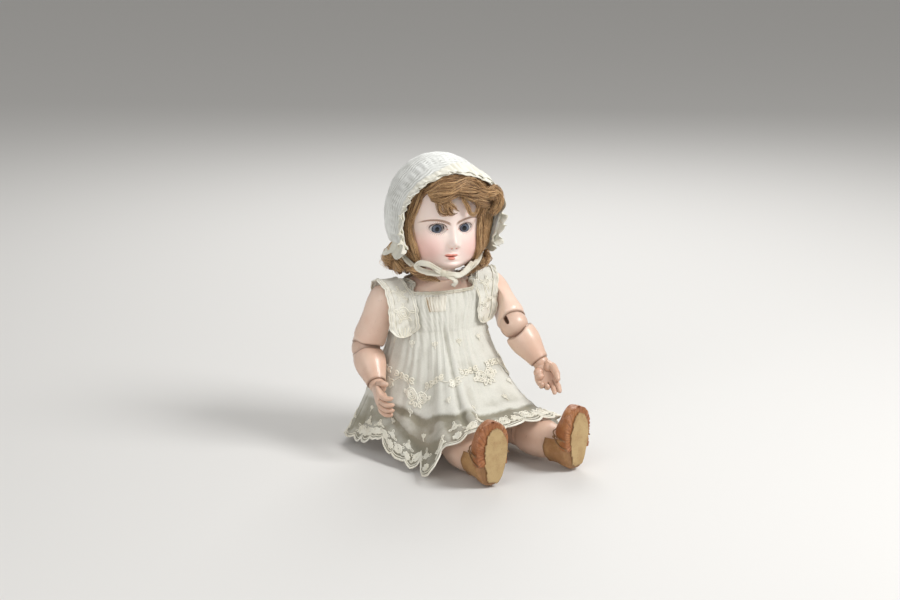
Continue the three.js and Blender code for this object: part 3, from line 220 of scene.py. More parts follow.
class Form:
    """Ways of making a piece's mesh with the modelling operators."""

    @staticmethod
    def only(piece: Piece) -> Piece:
        """Selects one object and nothing else."""
        bpy.ops.object.select_all(action="DESELECT")
        piece.select_set(True)
        bpy.context.view_layer.objects.active = piece
        return piece

    @staticmethod
    def named(name: str) -> Piece:
        """Names the object that an operator has just made."""
        piece = bpy.context.object
        piece.name = piece.data.name = name
        return piece

    @staticmethod
    def read(parts: bpy.types.bpy_prop_collection, what: str) -> Array:
        """A place or way of each vertex or face of a mesh, in the frame's metres."""
        found = np.empty(len(parts) * 3)
        parts.foreach_get(what, found)
        return found.reshape(-1, 3)

    @staticmethod
    def crisp(degrees: float = 42.0) -> None:
        """Shades the chosen piece smooth, but for edges sharper than an angle."""
        bpy.ops.object.shade_smooth_by_angle(angle=math.radians(degrees))

    @staticmethod
    def modify(piece: Piece, kind: str, **options: object) -> None:
        """Applies a modifier of a kind with options set on it."""
        Form.only(piece)
        step = piece.modifiers.new(kind.lower(), kind)
        for key, value in options.items():
            setattr(step, key, value)
        bpy.ops.object.modifier_apply(modifier=step.name)

    @staticmethod
    def weld(piece: Piece, outward: bool = True) -> None:
        """Merges a mesh's doubles and turns its faces outward."""
        Form.only(piece)
        bpy.ops.object.mode_set(mode="EDIT")
        bpy.ops.mesh.select_all(action="SELECT")
        bpy.ops.mesh.remove_doubles(threshold=WELD)
        if outward:
            bpy.ops.mesh.normals_make_consistent(inside=False)
        bpy.ops.object.mode_set(mode="OBJECT")

    @staticmethod
    def rows(name: str, points: Array, wrap: bool = False, marks: Optional[dict[str, Array]] = None,
             outward: bool = True) -> Piece:
        """A grid laid out over rows of points.

        Args:
            name: The piece's name.
            points: Rows, columns and places, in millimetres about the spine.
            wrap: Whether the last column meets the first.
            marks: Vector attributes, with a value for each point.
            outward: Whether the faces are turned outward as on a closed form.

        Returns:
            The piece.
        """
        marks = dict(marks or {})
        if wrap:
            points = np.concatenate([points, points[:, :1]], axis=1)
            marks = {key: np.concatenate([value, value[:, :1]], axis=1) for key, value in marks.items()}
        count_v, count_u = points.shape[:2]
        bpy.ops.object.select_all(action="DESELECT")
        bpy.ops.mesh.primitive_grid_add(x_subdivisions=count_u - 1, y_subdivisions=count_v - 1, size=2.0)
        piece = Form.named(name)
        mesh = piece.data
        start = Form.read(mesh.vertices, "co")
        u = np.rint((start[:, 0] + 1) / 2 * (count_u - 1)).astype(int)
        v = np.rint((start[:, 1] + 1) / 2 * (count_v - 1)).astype(int)
        mesh.vertices.foreach_set("co", world(points[v, u]).ravel())
        for key, value in marks.items():
            mark = mesh.attributes.new(key, "FLOAT_VECTOR", "POINT")
            mark.data.foreach_set("vector", np.ascontiguousarray(value[v, u], dtype=np.float32).ravel())
        mesh.update()
        if wrap or outward:
            Form.weld(piece, outward)
        Form.only(piece)
        bpy.ops.object.shade_smooth()
        return piece

    @staticmethod
    def strands(name: str, lines: Sequence[Array], radius: float, tapers: Optional[Sequence[Array]] = None,
                sides: int = 0, tones: Optional[Sequence[float]] = None) -> Piece:
        """Round strands along lines, as one mesh.

        Args:
            name: The piece's name.
            lines: Places along each strand, in millimetres about the spine.
            radius: The strands' radius.
            tapers: The share of the radius at each place of each strand.
            sides: How finely the strands are rounded.
            tones: How light each strand is, from 0 to 1.

        Returns:
            The piece.
        """
        curve = bpy.data.curves.new(name, "CURVE")
        curve.dimensions = "3D"
        curve.bevel_depth = radius * MM
        curve.bevel_resolution = sides
        curve.use_fill_caps = True
        for number, line in enumerate(lines):
            spline = curve.splines.new("POLY")
            spline.points.add(len(line) - 1)
            spline.points.foreach_set("co", np.column_stack([world(line), np.ones(len(line))]).ravel())
            if tapers is not None:
                spline.points.foreach_set("radius", np.asarray(tapers[number], float))
        piece = bpy.data.objects.new(name, curve)
        bpy.context.collection.objects.link(piece)
        Form.only(piece)
        bpy.ops.object.convert(target="MESH")
        piece = Form.named(name)
        if tones is not None:
            each = np.asarray(tones, np.float32)
            around = 4 + 2 * sides
            caps = np.repeat(each[::-1], 2 * around)
            values = np.concatenate([caps, np.repeat(each, [len(line) * around for line in lines])])
            mark = piece.data.attributes.new("tone", "FLOAT_VECTOR", "POINT")
            mark.data.foreach_set("vector", np.repeat(values, 3))
        bpy.ops.object.shade_smooth()
        return piece

    @staticmethod
    def ball(name: str, centre: Sequence[float], radius: float, fine: int = 40) -> Piece:
        """A round ball with its place in its mesh."""
        bpy.ops.object.select_all(action="DESELECT")
        bpy.ops.mesh.primitive_uv_sphere_add(
            segments=fine, ring_count=fine * 2 // 3, radius=radius * MM, location=Vector(world(centre)))
        piece = Form.named(name)
        bpy.ops.object.transform_apply(location=True, rotation=True, scale=True)
        bpy.ops.object.shade_smooth()
        return piece

    @staticmethod
    def carve(piece: Piece, *cutters: Piece) -> None:
        """Cuts forms out of a piece and removes them."""
        for cutter in cutters:
            Form.modify(piece, "BOOLEAN", object=cutter, operation="DIFFERENCE", solver="EXACT")
            Form.only(cutter)
            bpy.ops.object.delete()
        Form.only(piece)

    @staticmethod
    def join(name: str, pieces: Sequence[Piece]) -> Piece:
        """Makes one object of several."""
        bpy.ops.object.select_all(action="DESELECT")
        for piece in pieces:
            piece.select_set(True)
        bpy.context.view_layer.objects.active = pieces[0]
        bpy.ops.object.join()
        return Form.named(name)

    @staticmethod
    def fuse(piece: Piece, voxel: float, rounds: int) -> None:
        """Melts a form's bodies into one skin and smooths it."""
        Form.only(piece)
        piece.data.remesh_voxel_size = voxel * MM
        bpy.ops.object.voxel_remesh()
        Form.modify(piece, "SMOOTH", factor=0.5, iterations=rounds)
        bpy.ops.object.shade_smooth()

    @staticmethod
    def face_from(piece: Piece, heart: Array) -> None:
        """Turns an open sheet's faces away from a place about the spine."""
        Form.only(piece)
        mesh = piece.data
        out = Form.read(mesh.polygons, "center") - world(heart)
        if (out * Form.read(mesh.polygons, "normal")).sum() < 0.0:
            bpy.ops.object.mode_set(mode="EDIT")
            bpy.ops.mesh.select_all(action="SELECT")
            bpy.ops.mesh.flip_normals()
            bpy.ops.object.mode_set(mode="OBJECT")

    @staticmethod
    def thicken(piece: Piece, wall: float) -> None:
        """Gives a sheet a wall, inward from its face."""
        Form.modify(piece, "SOLIDIFY", thickness=wall * MM, offset=-1.0)
        bpy.ops.object.shade_smooth()

    @staticmethod
    def drop_faces(piece: Piece, inside: Callable[[Array], Array]) -> None:
        """Deletes the faces whose middles a test names, in millimetres about the spine."""
        chosen = inside(Form.read(piece.data.polygons, "center") / MM + (0.0, SPINE_AHEAD, 0.0))
        Form.only(piece)
        bpy.ops.object.mode_set(mode="EDIT")
        bpy.ops.mesh.select_all(action="DESELECT")
        bpy.ops.object.mode_set(mode="OBJECT")
        piece.data.polygons.foreach_set("select", chosen)
        bpy.ops.object.mode_set(mode="EDIT")
        bpy.ops.mesh.select_mode(type="FACE")
        bpy.ops.mesh.delete(type="FACE")
        bpy.ops.object.mode_set(mode="OBJECT")

    @staticmethod
    def mark(piece: Piece, name: str, values: Array) -> None:
        """Gives each vertex of a piece the three values that its finish reads."""
        made = piece.data.attributes.get(name) or piece.data.attributes.new(name, "FLOAT_VECTOR", "POINT")
        made.data.foreach_set("vector", np.ascontiguousarray(values, dtype=np.float32).ravel())

    @staticmethod
    def hollows(piece: Piece, rounds: int) -> Array:
        """How deep each vertex lies in a hollow.

        Args:
            piece: The piece.
            rounds: How many times its neighbours are averaged.

        Returns:
            A depth for each vertex in millimetres, below zero on a ridge.
        """
        mesh = piece.data
        count = len(mesh.vertices)
        at, ways = Form.read(mesh.vertices, "co"), Form.read(mesh.vertices, "normal")
        pairs = np.empty(len(mesh.edges) * 2, dtype=np.int32)
        mesh.edges.foreach_get("vertices", pairs)
        one, two = pairs.reshape(-1, 2).T
        ends, others = np.concatenate([one, two]), np.concatenate([two, one])
        degree = np.maximum(1, np.bincount(ends, minlength=count))
        smooth = at.copy()
        for _ in range(rounds):
            mean = places(*(np.bincount(ends, smooth[others, k], count) / degree for k in range(3)))
            smooth = 0.5 * smooth + 0.5 * mean
        return ((smooth - at) * ways).sum(axis=1) / MM


class Signal:
    """A value in a material's node tree, on which sums are written as on numbers."""

    def __init__(self, shader: "Shader", socket: Socket) -> None:
        """Holds a node's output and the shader that it belongs to."""
        self.shader = shader
        self.socket = socket

    def __add__(self, other: Value) -> "Signal":
        """The sum of two values."""
        return self.shader.math("ADD", self, other)

    def __sub__(self, other: Value) -> "Signal":
        """This value less another."""
        return self.shader.math("SUBTRACT", self, other)

    def __rsub__(self, other: Value) -> "Signal":
        """Another value less this one."""
        return self.shader.math("SUBTRACT", other, self)

    def __mul__(self, other: Value) -> "Signal":
        """The product of two values."""
        return self.shader.math("MULTIPLY", self, other)

    def __truediv__(self, other: Value) -> "Signal":
        """This value over another."""
        return self.shader.math("DIVIDE", self, other)

    def __pow__(self, power: float) -> "Signal":
        """This value to a power."""
        return self.shader.math("POWER", self, power)

    def __abs__(self) -> "Signal":
        """This value without its sign."""
        return self.shader.math("ABSOLUTE", self)

    __radd__ = __add__
    __rmul__ = __mul__


class Shader:
    """A material's node tree, written from its output back to its coordinates."""

    def __init__(self, name: str) -> None:
        """Starts a material with one principled surface."""
        self.material = bpy.data.materials.new(name)
        self.material.use_nodes = True
        self.tree = self.material.node_tree
        self.surface = self.tree.nodes["Principled BSDF"]

    def feed(self, socket: Socket, value: object) -> None:
        """Links a socket to a signal, or sets its constant."""
        if isinstance(value, Signal):
            self.tree.links.new(value.socket, socket)
        elif isinstance(value, tuple) and len(value) == 3 and socket.type == "RGBA":
            socket.default_value = (*value, 1.0)
        else:
            socket.default_value = value

    def out(self, kind: str, inputs: dict[Union[int, str], object], output: Union[int, str] = 0,
            **options: object) -> Signal:
        """Adds a node.

        Args:
            kind: The node's kind.
            inputs: What is fed to its inputs.
            output: Which of its outputs is wanted.
            options: Settings of the node itself.

        Returns:
            The output.
        """
        made = self.tree.nodes.new(f"ShaderNode{kind}")
        for key, value in options.items():
            setattr(made, key, value)
        for place, value in inputs.items():
            self.feed(made.inputs[place], value)
        return Signal(self, made.outputs[output])

    def set(self, **inputs: object) -> None:
        """Feeds the surface's inputs, named with underscores."""
        for key, value in inputs.items():
            self.feed(self.surface.inputs[key.replace("_", " ")], value)

    def math(self, operation: str, first: Value, second: Value = 0.0, clamp: bool = False) -> Signal:
        """The result of a sum on one or two values."""
        return self.out("Math", {0: first, 1: second}, operation=operation, use_clamp=clamp)

    def mark(self, name: str) -> tuple[Signal, ...]:
        """The three values of a piece's own attribute."""
        vector = self.out("Attribute", {}, "Vector", attribute_name=name)
        return tuple(self.out("SeparateXYZ", {0: vector}, part) for part in range(3))

    def noise(self, scale: float, detail: float = 3.0, rough: float = 0.55) -> Signal:
        """Cloudy values about one half, by the place on the object."""
        place = self.out("TexCoord", {}, "Object")
        return self.out("TexNoise", {"Vector": place, "Scale": scale, "Detail": detail, "Roughness": rough})

    def span(self, value: Value, low: float, high: float) -> Signal:
        """A smooth step of a value from 0 at low to 1 at high."""
        return self.out("MapRange", {"Value": value, "From Min": low, "From Max": high},
                        interpolation_type="SMOOTHSTEP")

    def mix(self, share: Value, first: object, second: object) -> Signal:
        """A colour between two."""
        return self.out("Mix", {0: share, 6: first, 7: second}, 2, data_type="RGBA")

    def relief(self, height: Signal, deep: float) -> None:
        """Raises the surface's grain by a height, in millimetres."""
        self.set(Normal=self.out("Bump", {"Strength": 1.0, "Distance": deep * MM, "Height": height}))

    def oval(self, x: Signal, z: Signal, centre: tuple[float, float], half: tuple[float, float],
             soft: float) -> Signal:
        """A soft-edged oval mask: 1 inside and 0 outside."""
        far = self.math("SQRT", ((x - centre[0]) / half[0]) ** 2 + ((z - centre[1]) / half[1]) ** 2)
        return self.span(1.0 - far, -soft, soft)


@dataclass(frozen=True)
class Cloth:
    """A woven finish: its colour, how far light passes, and its grain."""

    name: str
    colour: Colour
    shade: Colour
    alpha: float = 1.0
    grain: float = 900.0
    deep: float = 0.12
    toned: bool = False

    def make(self) -> Material:
        """Returns the material, with the painted light and shade that the piece's own tones lay on it where
        it has them.
        """
        shader = Shader(self.name)
        cloud = shader.noise(55.0, 4.0)
        # The tone mark paints light and shade over folds, crinkles and pleats.
        if self.toned:
            cloud = cloud * 0.5 + shader.mark("tone")[0] * 0.5
        shader.set(Base_Color=shader.mix(shader.span(cloud, 0.3, 0.72), self.shade, self.colour),
                   Roughness=0.9, Specular_IOR_Level=0.15, Sheen_Weight=0.25)
        fine = shader.noise(self.grain, 2.0)
        shader.relief(fine, self.deep)
        if self.alpha < 1.0:
            shader.set(Alpha=shader.math("ADD", self.alpha - 0.1, fine * 0.2, clamp=True))
        return shader.material


@dataclass(frozen=True)
class Composition:
    """Painted, varnished limb composition: browned with age, grimy at its rims, with painted shade in the
    hollows its pieces mark.
    """

    name: str = "composition"
    flesh: Colour = (0.88, 0.67, 0.55)
    blush: Colour = (0.82, 0.55, 0.43)
    aged: Colour = (0.50, 0.285, 0.175)
    grime_and_shade: Colour = (0.20, 0.105, 0.06)

    def make(self) -> Material:
        """Returns the material, led by the piece's own marks of grimy rims, painted shade and age."""
        shader = Shader(self.name)
        tint = shader.mix(shader.span(shader.noise(32.0, 4.0), 0.35, 0.75), self.flesh, self.blush)
        # The first mark value darkens grimy rims and balls, and is painted shade in the hands' hollows and
        # the elbow slots.
        rim, age, _ = shader.mark("wear_and_shade")
        tint = shader.mix(age * (0.55 + shader.noise(60.0, 5.0, 0.65) * 0.9), tint, self.aged)
        speck = shader.noise(420.0, 4.0, 0.7)
        dirt_and_shade = shader.math("MAXIMUM", rim * 0.8, shader.span(speck, 0.62, 0.74) * 0.35)
        shader.set(Base_Color=shader.mix(dirt_and_shade, tint, self.grime_and_shade), Specular_IOR_Level=0.5,
                   Roughness=0.27 + speck * 0.18, Coat_Weight=0.16, Coat_Roughness=0.12,
                   Subsurface_Weight=0.08, Subsurface_Radius=SCATTER)
        shader.relief(shader.noise(90.0, 3.0), 0.25)
        return shader.material


@dataclass(frozen=True)
class Leather:
    """Aged shoe leather, with the scuffs and dark marks that its piece carries, painted shade and highlight
    among them.
    """

    name: str
    colour: Colour
    worn: Colour
    dark: Colour
    roughness: float
    scuff_and_highlight: Colour = (0.50, 0.25, 0.145)

    def make(self) -> Material:
        """Returns the material."""
        shader = Shader(self.name)
        patch = shader.span(shader.noise(70.0, 5.0, 0.65), 0.4, 0.68)
        grain = shader.noise(600.0, 4.0, 0.7)
        # The first tone darkens: painted shade in the vamp's pucker valleys and where the quarter turns
        # under, a dark sole edge and a grimy quarter top. The second lays scuffs, and painted highlight on
        # the vamp's pucker ridges.
        crease, rubbed_and_highlit, _ = shader.mark("tone")
        rub = rubbed_and_highlit * shader.span(shader.noise(230.0, 5.0, 0.7), 0.42, 0.66)
        base = shader.mix(rub, shader.mix(patch, self.colour, self.worn), self.scuff_and_highlight)
        dark = shader.math("MAXIMUM", shader.span(grain, 0.56, 0.78) * 0.8, crease)
        shader.set(Base_Color=shader.mix(dark, base, self.dark),
                   Roughness=self.roughness - 0.1 + grain * 0.25)
        shader.relief(grain + patch, 0.3)
        return shader.material


@dataclass(frozen=True)
class Mohair:
    """Golden brown hair, each strand with a tone of its own."""

    name: str = "mohair"
    light: Colour = (0.74, 0.49, 0.25)
    middle: Colour = (0.36, 0.195, 0.078)
    dark: Colour = (0.11, 0.05, 0.018)

    def make(self) -> Material:
        """Returns the material."""
        shader = Shader(self.name)
        lock = shader.mark("tone")[0] + (shader.noise(120.0, 3.0) - 0.5) * 0.5
        low = shader.mix(shader.span(lock, 0.0, 0.45), self.dark, self.middle)
        shader.set(Base_Color=shader.mix(shader.span(lock, 0.4, 0.95), low, self.light),
                   Roughness=0.42, Specular_IOR_Level=0.4, Sheen_Weight=0.15)
        return shader.material


@dataclass(frozen=True)
class Plain:
    """An even finish."""

    name: str
    colour: Colour
    roughness: float

    def make(self) -> Material:
        """Returns the material."""
        shader = Shader(self.name)
        shader.set(Base_Color=self.colour, Roughness=self.roughness)
        return shader.material


@dataclass(frozen=True)
class EyeGlass:
    """A set glass eye: white greyed with painted shade from the lids, threaded iris with a dark edge, and
    pupil under a clear face.
    """

    name: str = "eye_glass"
    # The white is greyed with painted shade from the lids.
    white: Colour = (0.54, 0.55, 0.57)
    iris: Colour = (0.05, 0.06, 0.085)
    thread: Colour = (0.17, 0.195, 0.26)
    edge: Colour = (0.014, 0.018, 0.03)
    pupil: Colour = (0.004, 0.004, 0.006)
    threads: float = 23.0
    iris_radius: float = 4.5
    pupil_radius: float = 2.0

    def make(self) -> Material:
        """Returns the material."""
        shader = Shader(self.name)
        x, _, z = shader.mark("gaze")
        far = shader.math("SQRT", x**2 + z**2)
        turn = shader.math("ARCTAN2", z, x)
        wave = shader.math("SINE", turn * self.threads) * 0.25 + shader.noise(900.0) * 0.9
        tint = shader.mix(shader.span(wave, 0.2, 0.75), self.iris, self.thread)
        for start, stop, colour in (
                (self.iris_radius - 1.1, self.iris_radius - 0.2, self.edge),
                (self.pupil_radius + 0.25, self.pupil_radius - 0.15, self.pupil),
                (self.iris_radius - 0.1, self.iris_radius + 0.25, self.white)):
            tint = shader.mix(shader.span(far, start, stop), tint, colour)
        shader.set(Base_Color=tint, Roughness=0.12, Coat_Weight=0.25, Coat_Roughness=0.02,
                   Specular_IOR_Level=0.35)
        return shader.material


@dataclass(frozen=True)
class Bisque:
    """Tinted unglazed porcelain with its painted face, laid out on the mesh's own face coordinates."""

    name: str = "bisque"
    pale: Colour = (0.925, 0.795, 0.73)
    rose: Colour = (0.78, 0.33, 0.28)
    lip: Colour = (0.66, 0.19, 0.13)
    lip_line: Colour = (0.30, 0.045, 0.03)
    brow: Colour = (0.27, 0.135, 0.065)
    lash: Colour = (0.07, 0.035, 0.025)
    eye_x: float = 12.8
    mouth_aside: float = 2.3
    face_tilt: float = 0.045

    def make(self) -> Material:
        """Returns the material."""
        shader = Shader(self.name)
        x, _, z = shader.mark("face")
        side, mouth = abs(x), x + self.mouth_aside
        tint = shader.mix(shader.noise(40.0) * 0.12, self.pale, self.rose)
        cheek = shader.oval(side, z, (23.5, -18.5), (13.5, 12.0), 0.85)
        chin = shader.oval(x, z, (0.0, -34.0), (8.0, 4.5), 0.9)
        lid = shader.oval(side, z, (self.eye_x, 4.5), (9.5, 3.4), 0.8)
        nostril = shader.oval(side, z, (2.3, -17.0), (1.0, 0.7), 0.4)
        corner = shader.oval(side, z, (self.eye_x - 7.6, -0.4), (0.6, 0.5), 0.4)
        for mask, colour in (
                (cheek * 0.46, self.rose), (chin * 0.14, self.rose), (lid * 0.10, self.rose),
                (self.lips(shader, mouth, z), self.lip),
                (self.parting(shader, abs(mouth), z), self.lip_line),
                (shader.math("MAXIMUM", nostril, corner) * 0.8, self.lip),
                (self.brows(shader, side, z - x * self.face_tilt), self.brow),
                (self.lashes(shader, side, z), self.lash)):
            tint = shader.mix(mask, tint, colour)
        shader.set(Base_Color=tint, Roughness=0.42, Specular_IOR_Level=0.45,
                   Subsurface_Weight=0.12, Subsurface_Radius=SCATTER)
        return shader.material

    @staticmethod
    def lips(shader: Shader, x: Signal, z: Signal) -> Signal:
        """The painted mouth's mask."""
        upper = shader.oval(abs(x), z, (2.3, -22.9), (3.7, 1.35), 0.24)
        lower = shader.oval(x, z, (0.0, -25.8), (3.3, 1.6), 0.24)
        return shader.math("MAXIMUM", upper, lower) * 0.86

    @staticmethod
    def parting(shader: Shader, side: Signal, z: Signal) -> Signal:
        """The dark line between the lips."""
        off = abs(z + 24.2 - side**2 * 0.012)
        return shader.span(off, 0.55, 0.2) * shader.span(side, 5.4, 4.4)

    @staticmethod
    def brows(shader: Shader, side: Signal, z: Signal) -> Signal:
        """The feathered brows' mask: arched bands that taper to their outer ends."""
        from_middle = (side - 16.5) / 14.5
        arch = 8.7 - from_middle**2 * 4.6
        thick = 1.1 - from_middle * 0.4
        ends = shader.span(side, 1.5, 4.5) * shader.span(side, 29.5, 24.5)
        stroke = shader.math("SINE", side * 5.5 - z * 3.4)
        return shader.span(abs(z - arch) / thick, 1.15, 0.55) * ends * (0.8 + stroke * 0.18)

    def lashes(self, shader: Shader, side: Signal, z: Signal) -> Signal:
        """The painted lashes round each eye and the dark line of the lids."""
        across, up = (side - self.eye_x) / 6.5, (z - 0.3) / 4.3
        far = shader.math("SQRT", across**2 + up**2)
        turn = shader.math("ARCTAN2", up, across)
        stroke = shader.span(shader.math("SINE", turn * 36.0), 0.45, 0.9)
        ring = shader.span(far, 0.95, 1.02) * shader.span(far, 1.58, 1.34)
        lid = shader.span(far, 0.9, 0.98) * shader.span(far, 1.24, 1.10)
        rims = lid * (0.4 + shader.span(up, -0.5, 0.4) * 0.6)
        return shader.math("MAXIMUM", rims, ring * stroke * shader.span(across, -1.0, -0.55) * 0.5)


class Finishes:
    """Every material of the doll, made once."""

    def __init__(self) -> None:
        """Makes the materials."""
        self.bisque = Bisque().make()
        self.eye = EyeGlass().make()
        self.composition = Composition().make()
        self.mohair = Mohair().make()
        self.cotton = Cloth("cotton", (0.82, 0.81, 0.74), (0.68, 0.66, 0.56), grain=700.0, deep=0.25).make()
        self.crinkle = Cloth("crinkle", (0.84, 0.85, 0.82), (0.42, 0.42, 0.38), grain=700.0, deep=0.25,
                             toned=True).make()
        self.brim = Cloth("brim", (0.86, 0.84, 0.75), (0.62, 0.59, 0.48), grain=700.0, deep=0.25,
                          toned=True).make()
        self.tape = Cloth("tape", (0.74, 0.71, 0.62), (0.58, 0.54, 0.43), grain=1200.0).make()
        self.net = Cloth("net", (0.81, 0.80, 0.725), (0.35, 0.33, 0.25), alpha=0.74, toned=True).make()
        self.lace = Cloth("lace", (0.86, 0.84, 0.76), (0.46, 0.43, 0.33), alpha=0.84, toned=True).make()
        self.thread = Cloth("thread", (0.88, 0.86, 0.77), (0.78, 0.74, 0.62), grain=1500.0).make()
        self.linen = Cloth("linen", (0.93, 0.93, 0.89), (0.84, 0.83, 0.78)).make()
        self.inset = Cloth("inset", (0.80, 0.77, 0.68), (0.34, 0.235, 0.13), toned=True).make()
        self.vamp = Leather("vamp_leather", (0.31, 0.105, 0.032), (0.43, 0.18, 0.062),
                            (0.105, 0.036, 0.014), 0.42).make()
        self.suede = Leather("pale_leather", (0.33, 0.165, 0.062), (0.44, 0.25, 0.10), (0.15, 0.07, 0.026),
                             0.5).make()
        self.lace_leather = Leather("lace_leather", (0.20, 0.105, 0.045), (0.30, 0.17, 0.08),
                                    (0.09, 0.045, 0.02), 0.6).make()
        self.sole = Leather("sole_leather", (0.52, 0.37, 0.185), (0.43, 0.28, 0.13), (0.26, 0.16, 0.08),
                            0.85).make()


def dress(piece: Piece, finish: Material, slot: str, *nodes: str) -> Piece:
    """Gives a piece its finish and hides the nodes that it replaces."""
    piece.data.materials.clear()
    piece.data.materials.append(finish)
    if nodes:
        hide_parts(*nodes)
    log.info("%s: %d faces", piece.name, len(piece.data.polygons))
    return piece


@dataclass
class Head:
    """The bisque head with its eyes, turned on the neck."""

    finishes: Finishes
    turn: float = -5.0
    chin_z: float = 163.0
    eye_z: float = 200.4
    crown_z: float = 254.5
    eye_x: float = 12.8
    eye_y: float = -24.0
    eye_radius: float = 8.2
    eye_width: float = 12.9
    eye_height: float = 8.5
    nose_z: float = 188.2
    mouth_z: float = 176.2
    mouth_aside: float = 2.3
    face_aside: float = 1.0
    face_tilt: float = 0.045
    wall: float = 3.2
    neck: tuple[tuple[float, float], ...] = (
        (132.7, 1.5), (134.6, 7.8), (139.0, 13.4), (145.0, 16.6), (150.0, 17.3), (154.6, 15.6),
        (157.6, 14.6))
    jaw: tuple[tuple[float, ...], ...] = (
        (-0.075, 15.0, 18.0, 15.2), (-0.03, 17.0, 25.0, 16.6), (0.01, 20.6, 30.2, 18.8),
        (0.09, 25.6, 34.4, 22.0), (0.21, 31.0, 37.0, 27.0), (0.41, 35.7, 38.0, 32.0),
        (0.66, 37.8, 38.0, 37.0), (1.0, 38.5, 37.5, 40.5))
    skull: tuple[tuple[float, ...], ...] = (
        (0.24, 38.3, 38.8, 41.5), (0.48, 36.0, 37.8, 40.0), (0.68, 31.4, 33.5, 36.0),
        (0.84, 24.4, 26.0, 28.5), (0.94, 16.0, 17.0, 18.5), (0.988, 8.0, 8.5, 9.5), (1.0, 0.0, 0.0, 0.0))

    def __post_init__(self) -> None:
        """Sets the head's own frame and its sections by height."""
        rows = [(z, radius, radius, radius) for z, radius in self.neck]
        rows += [(self.chin_z + (self.eye_z - self.chin_z) * share, *sizes) for share, *sizes in self.jaw]
        rows += [(self.eye_z + (self.crown_z - self.eye_z) * share, *sizes) for share, *sizes in self.skull]
        self.sections = tuple(rows)
        angle = math.radians(self.turn)
        self.axes = Axes(np.zeros(3), np.array([math.cos(angle), math.sin(angle), 0.0]),
                         np.array([-math.sin(angle), math.cos(angle), 0.0]), np.array([0.0, 0.0, 1.0]))

    def relief(self, x: Array, z: Array) -> Array:
        """How far the face stands proud of the plain head at places across and up it."""
        x, z = x + self.face_aside, z + self.face_tilt * x
        side, up = np.abs(x), z - self.eye_z
        nose, mouth = z - self.nose_z, z - self.mouth_z
        lip_x = x + self.mouth_aside
        sockets = (-2.5 * bump(side - self.eye_x, up, 8.8, 5.8)
                   + 0.9 * bump(side - self.eye_x, up - 10.0, 12.0, 4.5))
        lids = (0.9 * bump(side - self.eye_x, up - 4.9, 8.5, 1.5)
                + 0.5 * bump(side - self.eye_x, up + 5.2, 7.5, 1.6))
        bridge = 3.1 * bump(x, up + 4.5, 3.7, 8.0)
        tip = 5.9 * bump(x + 0.7, nose, 4.3, 4.7) + 2.0 * bump(side - 4.2, nose + 2.0, 2.0, 2.1)
        under = -1.6 * bump(side - 2.2, nose + 5.0, 1.4, 1.2)
        cheeks = 2.1 * bump(side - 19.0, up + 17.0, 10.5, 9.5)
        lips = (1.8 * bump(np.abs(lip_x) - 2.2, mouth - 1.5, 3.4, 1.3)
                + 2.0 * bump(lip_x, mouth + 1.8, 3.8, 1.7))
        groove = -0.5 * bump(x, mouth - 5.2, 1.4, 2.2)
        parting = -1.5 * bump(lip_x, mouth - 0.012 * lip_x**2 + 0.1, 5.4, 0.6)
        chin = 2.6 * bump(x, z - self.chin_z - 4.8, 7.6, 3.8) - 0.9 * bump(x, mouth + 5.0, 6.0, 1.3)
        return sockets + lids + bridge + tip + under + cheeks + lips + groove + parting + chin

    def skin(self, z: Array, angle: Array, proud: Array, featured: bool = False) -> Array:
        """Places on the head in its own frame.

        Args:
            z: Heights.
            angle: Angles from the front.
            proud: How far outside the plain head.
            featured: Whether the face is modelled.

        Returns:
            A place for each height and angle.
        """
        section = through(self.sections, z) + np.asarray(proud)[..., None]
        x, y = on_section(section, angle)
        if featured:
            y = y - self.relief(x, z) * np.clip(np.cos(angle) * 1.6, 0.0, 1.0)
        return places(x, y, z)

    def grid(self, heights: Array, angles: Array, proud: float | Array, featured: bool = False) -> Array:
        """Rows of places on the head, one row for each height, in its own frame."""
        z, angle = np.meshgrid(heights, angles, indexing="ij")
        proud = np.broadcast_to(proud, z.shape)
        return self.skin(z.ravel(), angle.ravel(), proud.ravel(), featured).reshape(*z.shape, 3)

    def shell(self) -> Piece:
        """The head with its eye openings."""
        turns = np.linspace(-math.pi, math.pi, 173)[:-1]
        angles = turns * (0.36 + 0.64 * np.abs(turns / math.pi))
        heights = np.concatenate([np.linspace(132.7, 159.0, 20), np.linspace(160.0, 214.0, 120),
                                  np.linspace(216.0, self.crown_z, 24)])
        local = self.grid(heights, angles, 0.0, True)
        face = local - (-self.face_aside, 0.0, self.eye_z)
        face[..., 2] += self.face_tilt * local[..., 0]
        shell = Form.rows("head_visual", self.axes.out(local), True, {"face": face})
        Form.thicken(shell, self.wall)
        Form.carve(shell, *[self.opening(side) for side in Side])
        Form.crisp(50.0)
        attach(shell, "head")
        return dress(shell, self.finishes.bisque, "bisque", "head_shell")

    def eye_centre(self, side: Side) -> Array:
        """The middle of an eye, on a face that sits a little askew."""
        x = side.sign * self.eye_x - self.face_aside
        return np.array([x, self.eye_y - 1.2, self.eye_z - self.face_tilt * x])

    def opening(self, side: Side) -> Piece:
        """A cutter of an eye's almond outline."""
        t = ring_angles(60)
        lift = np.where(np.sin(t) > 0.0, self.eye_height * 0.54, self.eye_height * 0.46)
        middle = self.eye_centre(side)
        x = middle[0] + self.eye_width / 2 * np.cos(t)
        z = middle[2] + lift * np.sin(t) * np.abs(np.sin(t)) ** 0.25
        ends = ((-60.0, 0.0), (-60.0, 1.0), (-22.0, 1.0), (-22.0, 0.0))
        rows = [places(x.mean() + size * (x - x.mean()), y, self.eye_z + size * (z - self.eye_z))
                for y, size in ends]
        return Form.rows("eye_opening", self.axes.out(np.array(rows)), True)

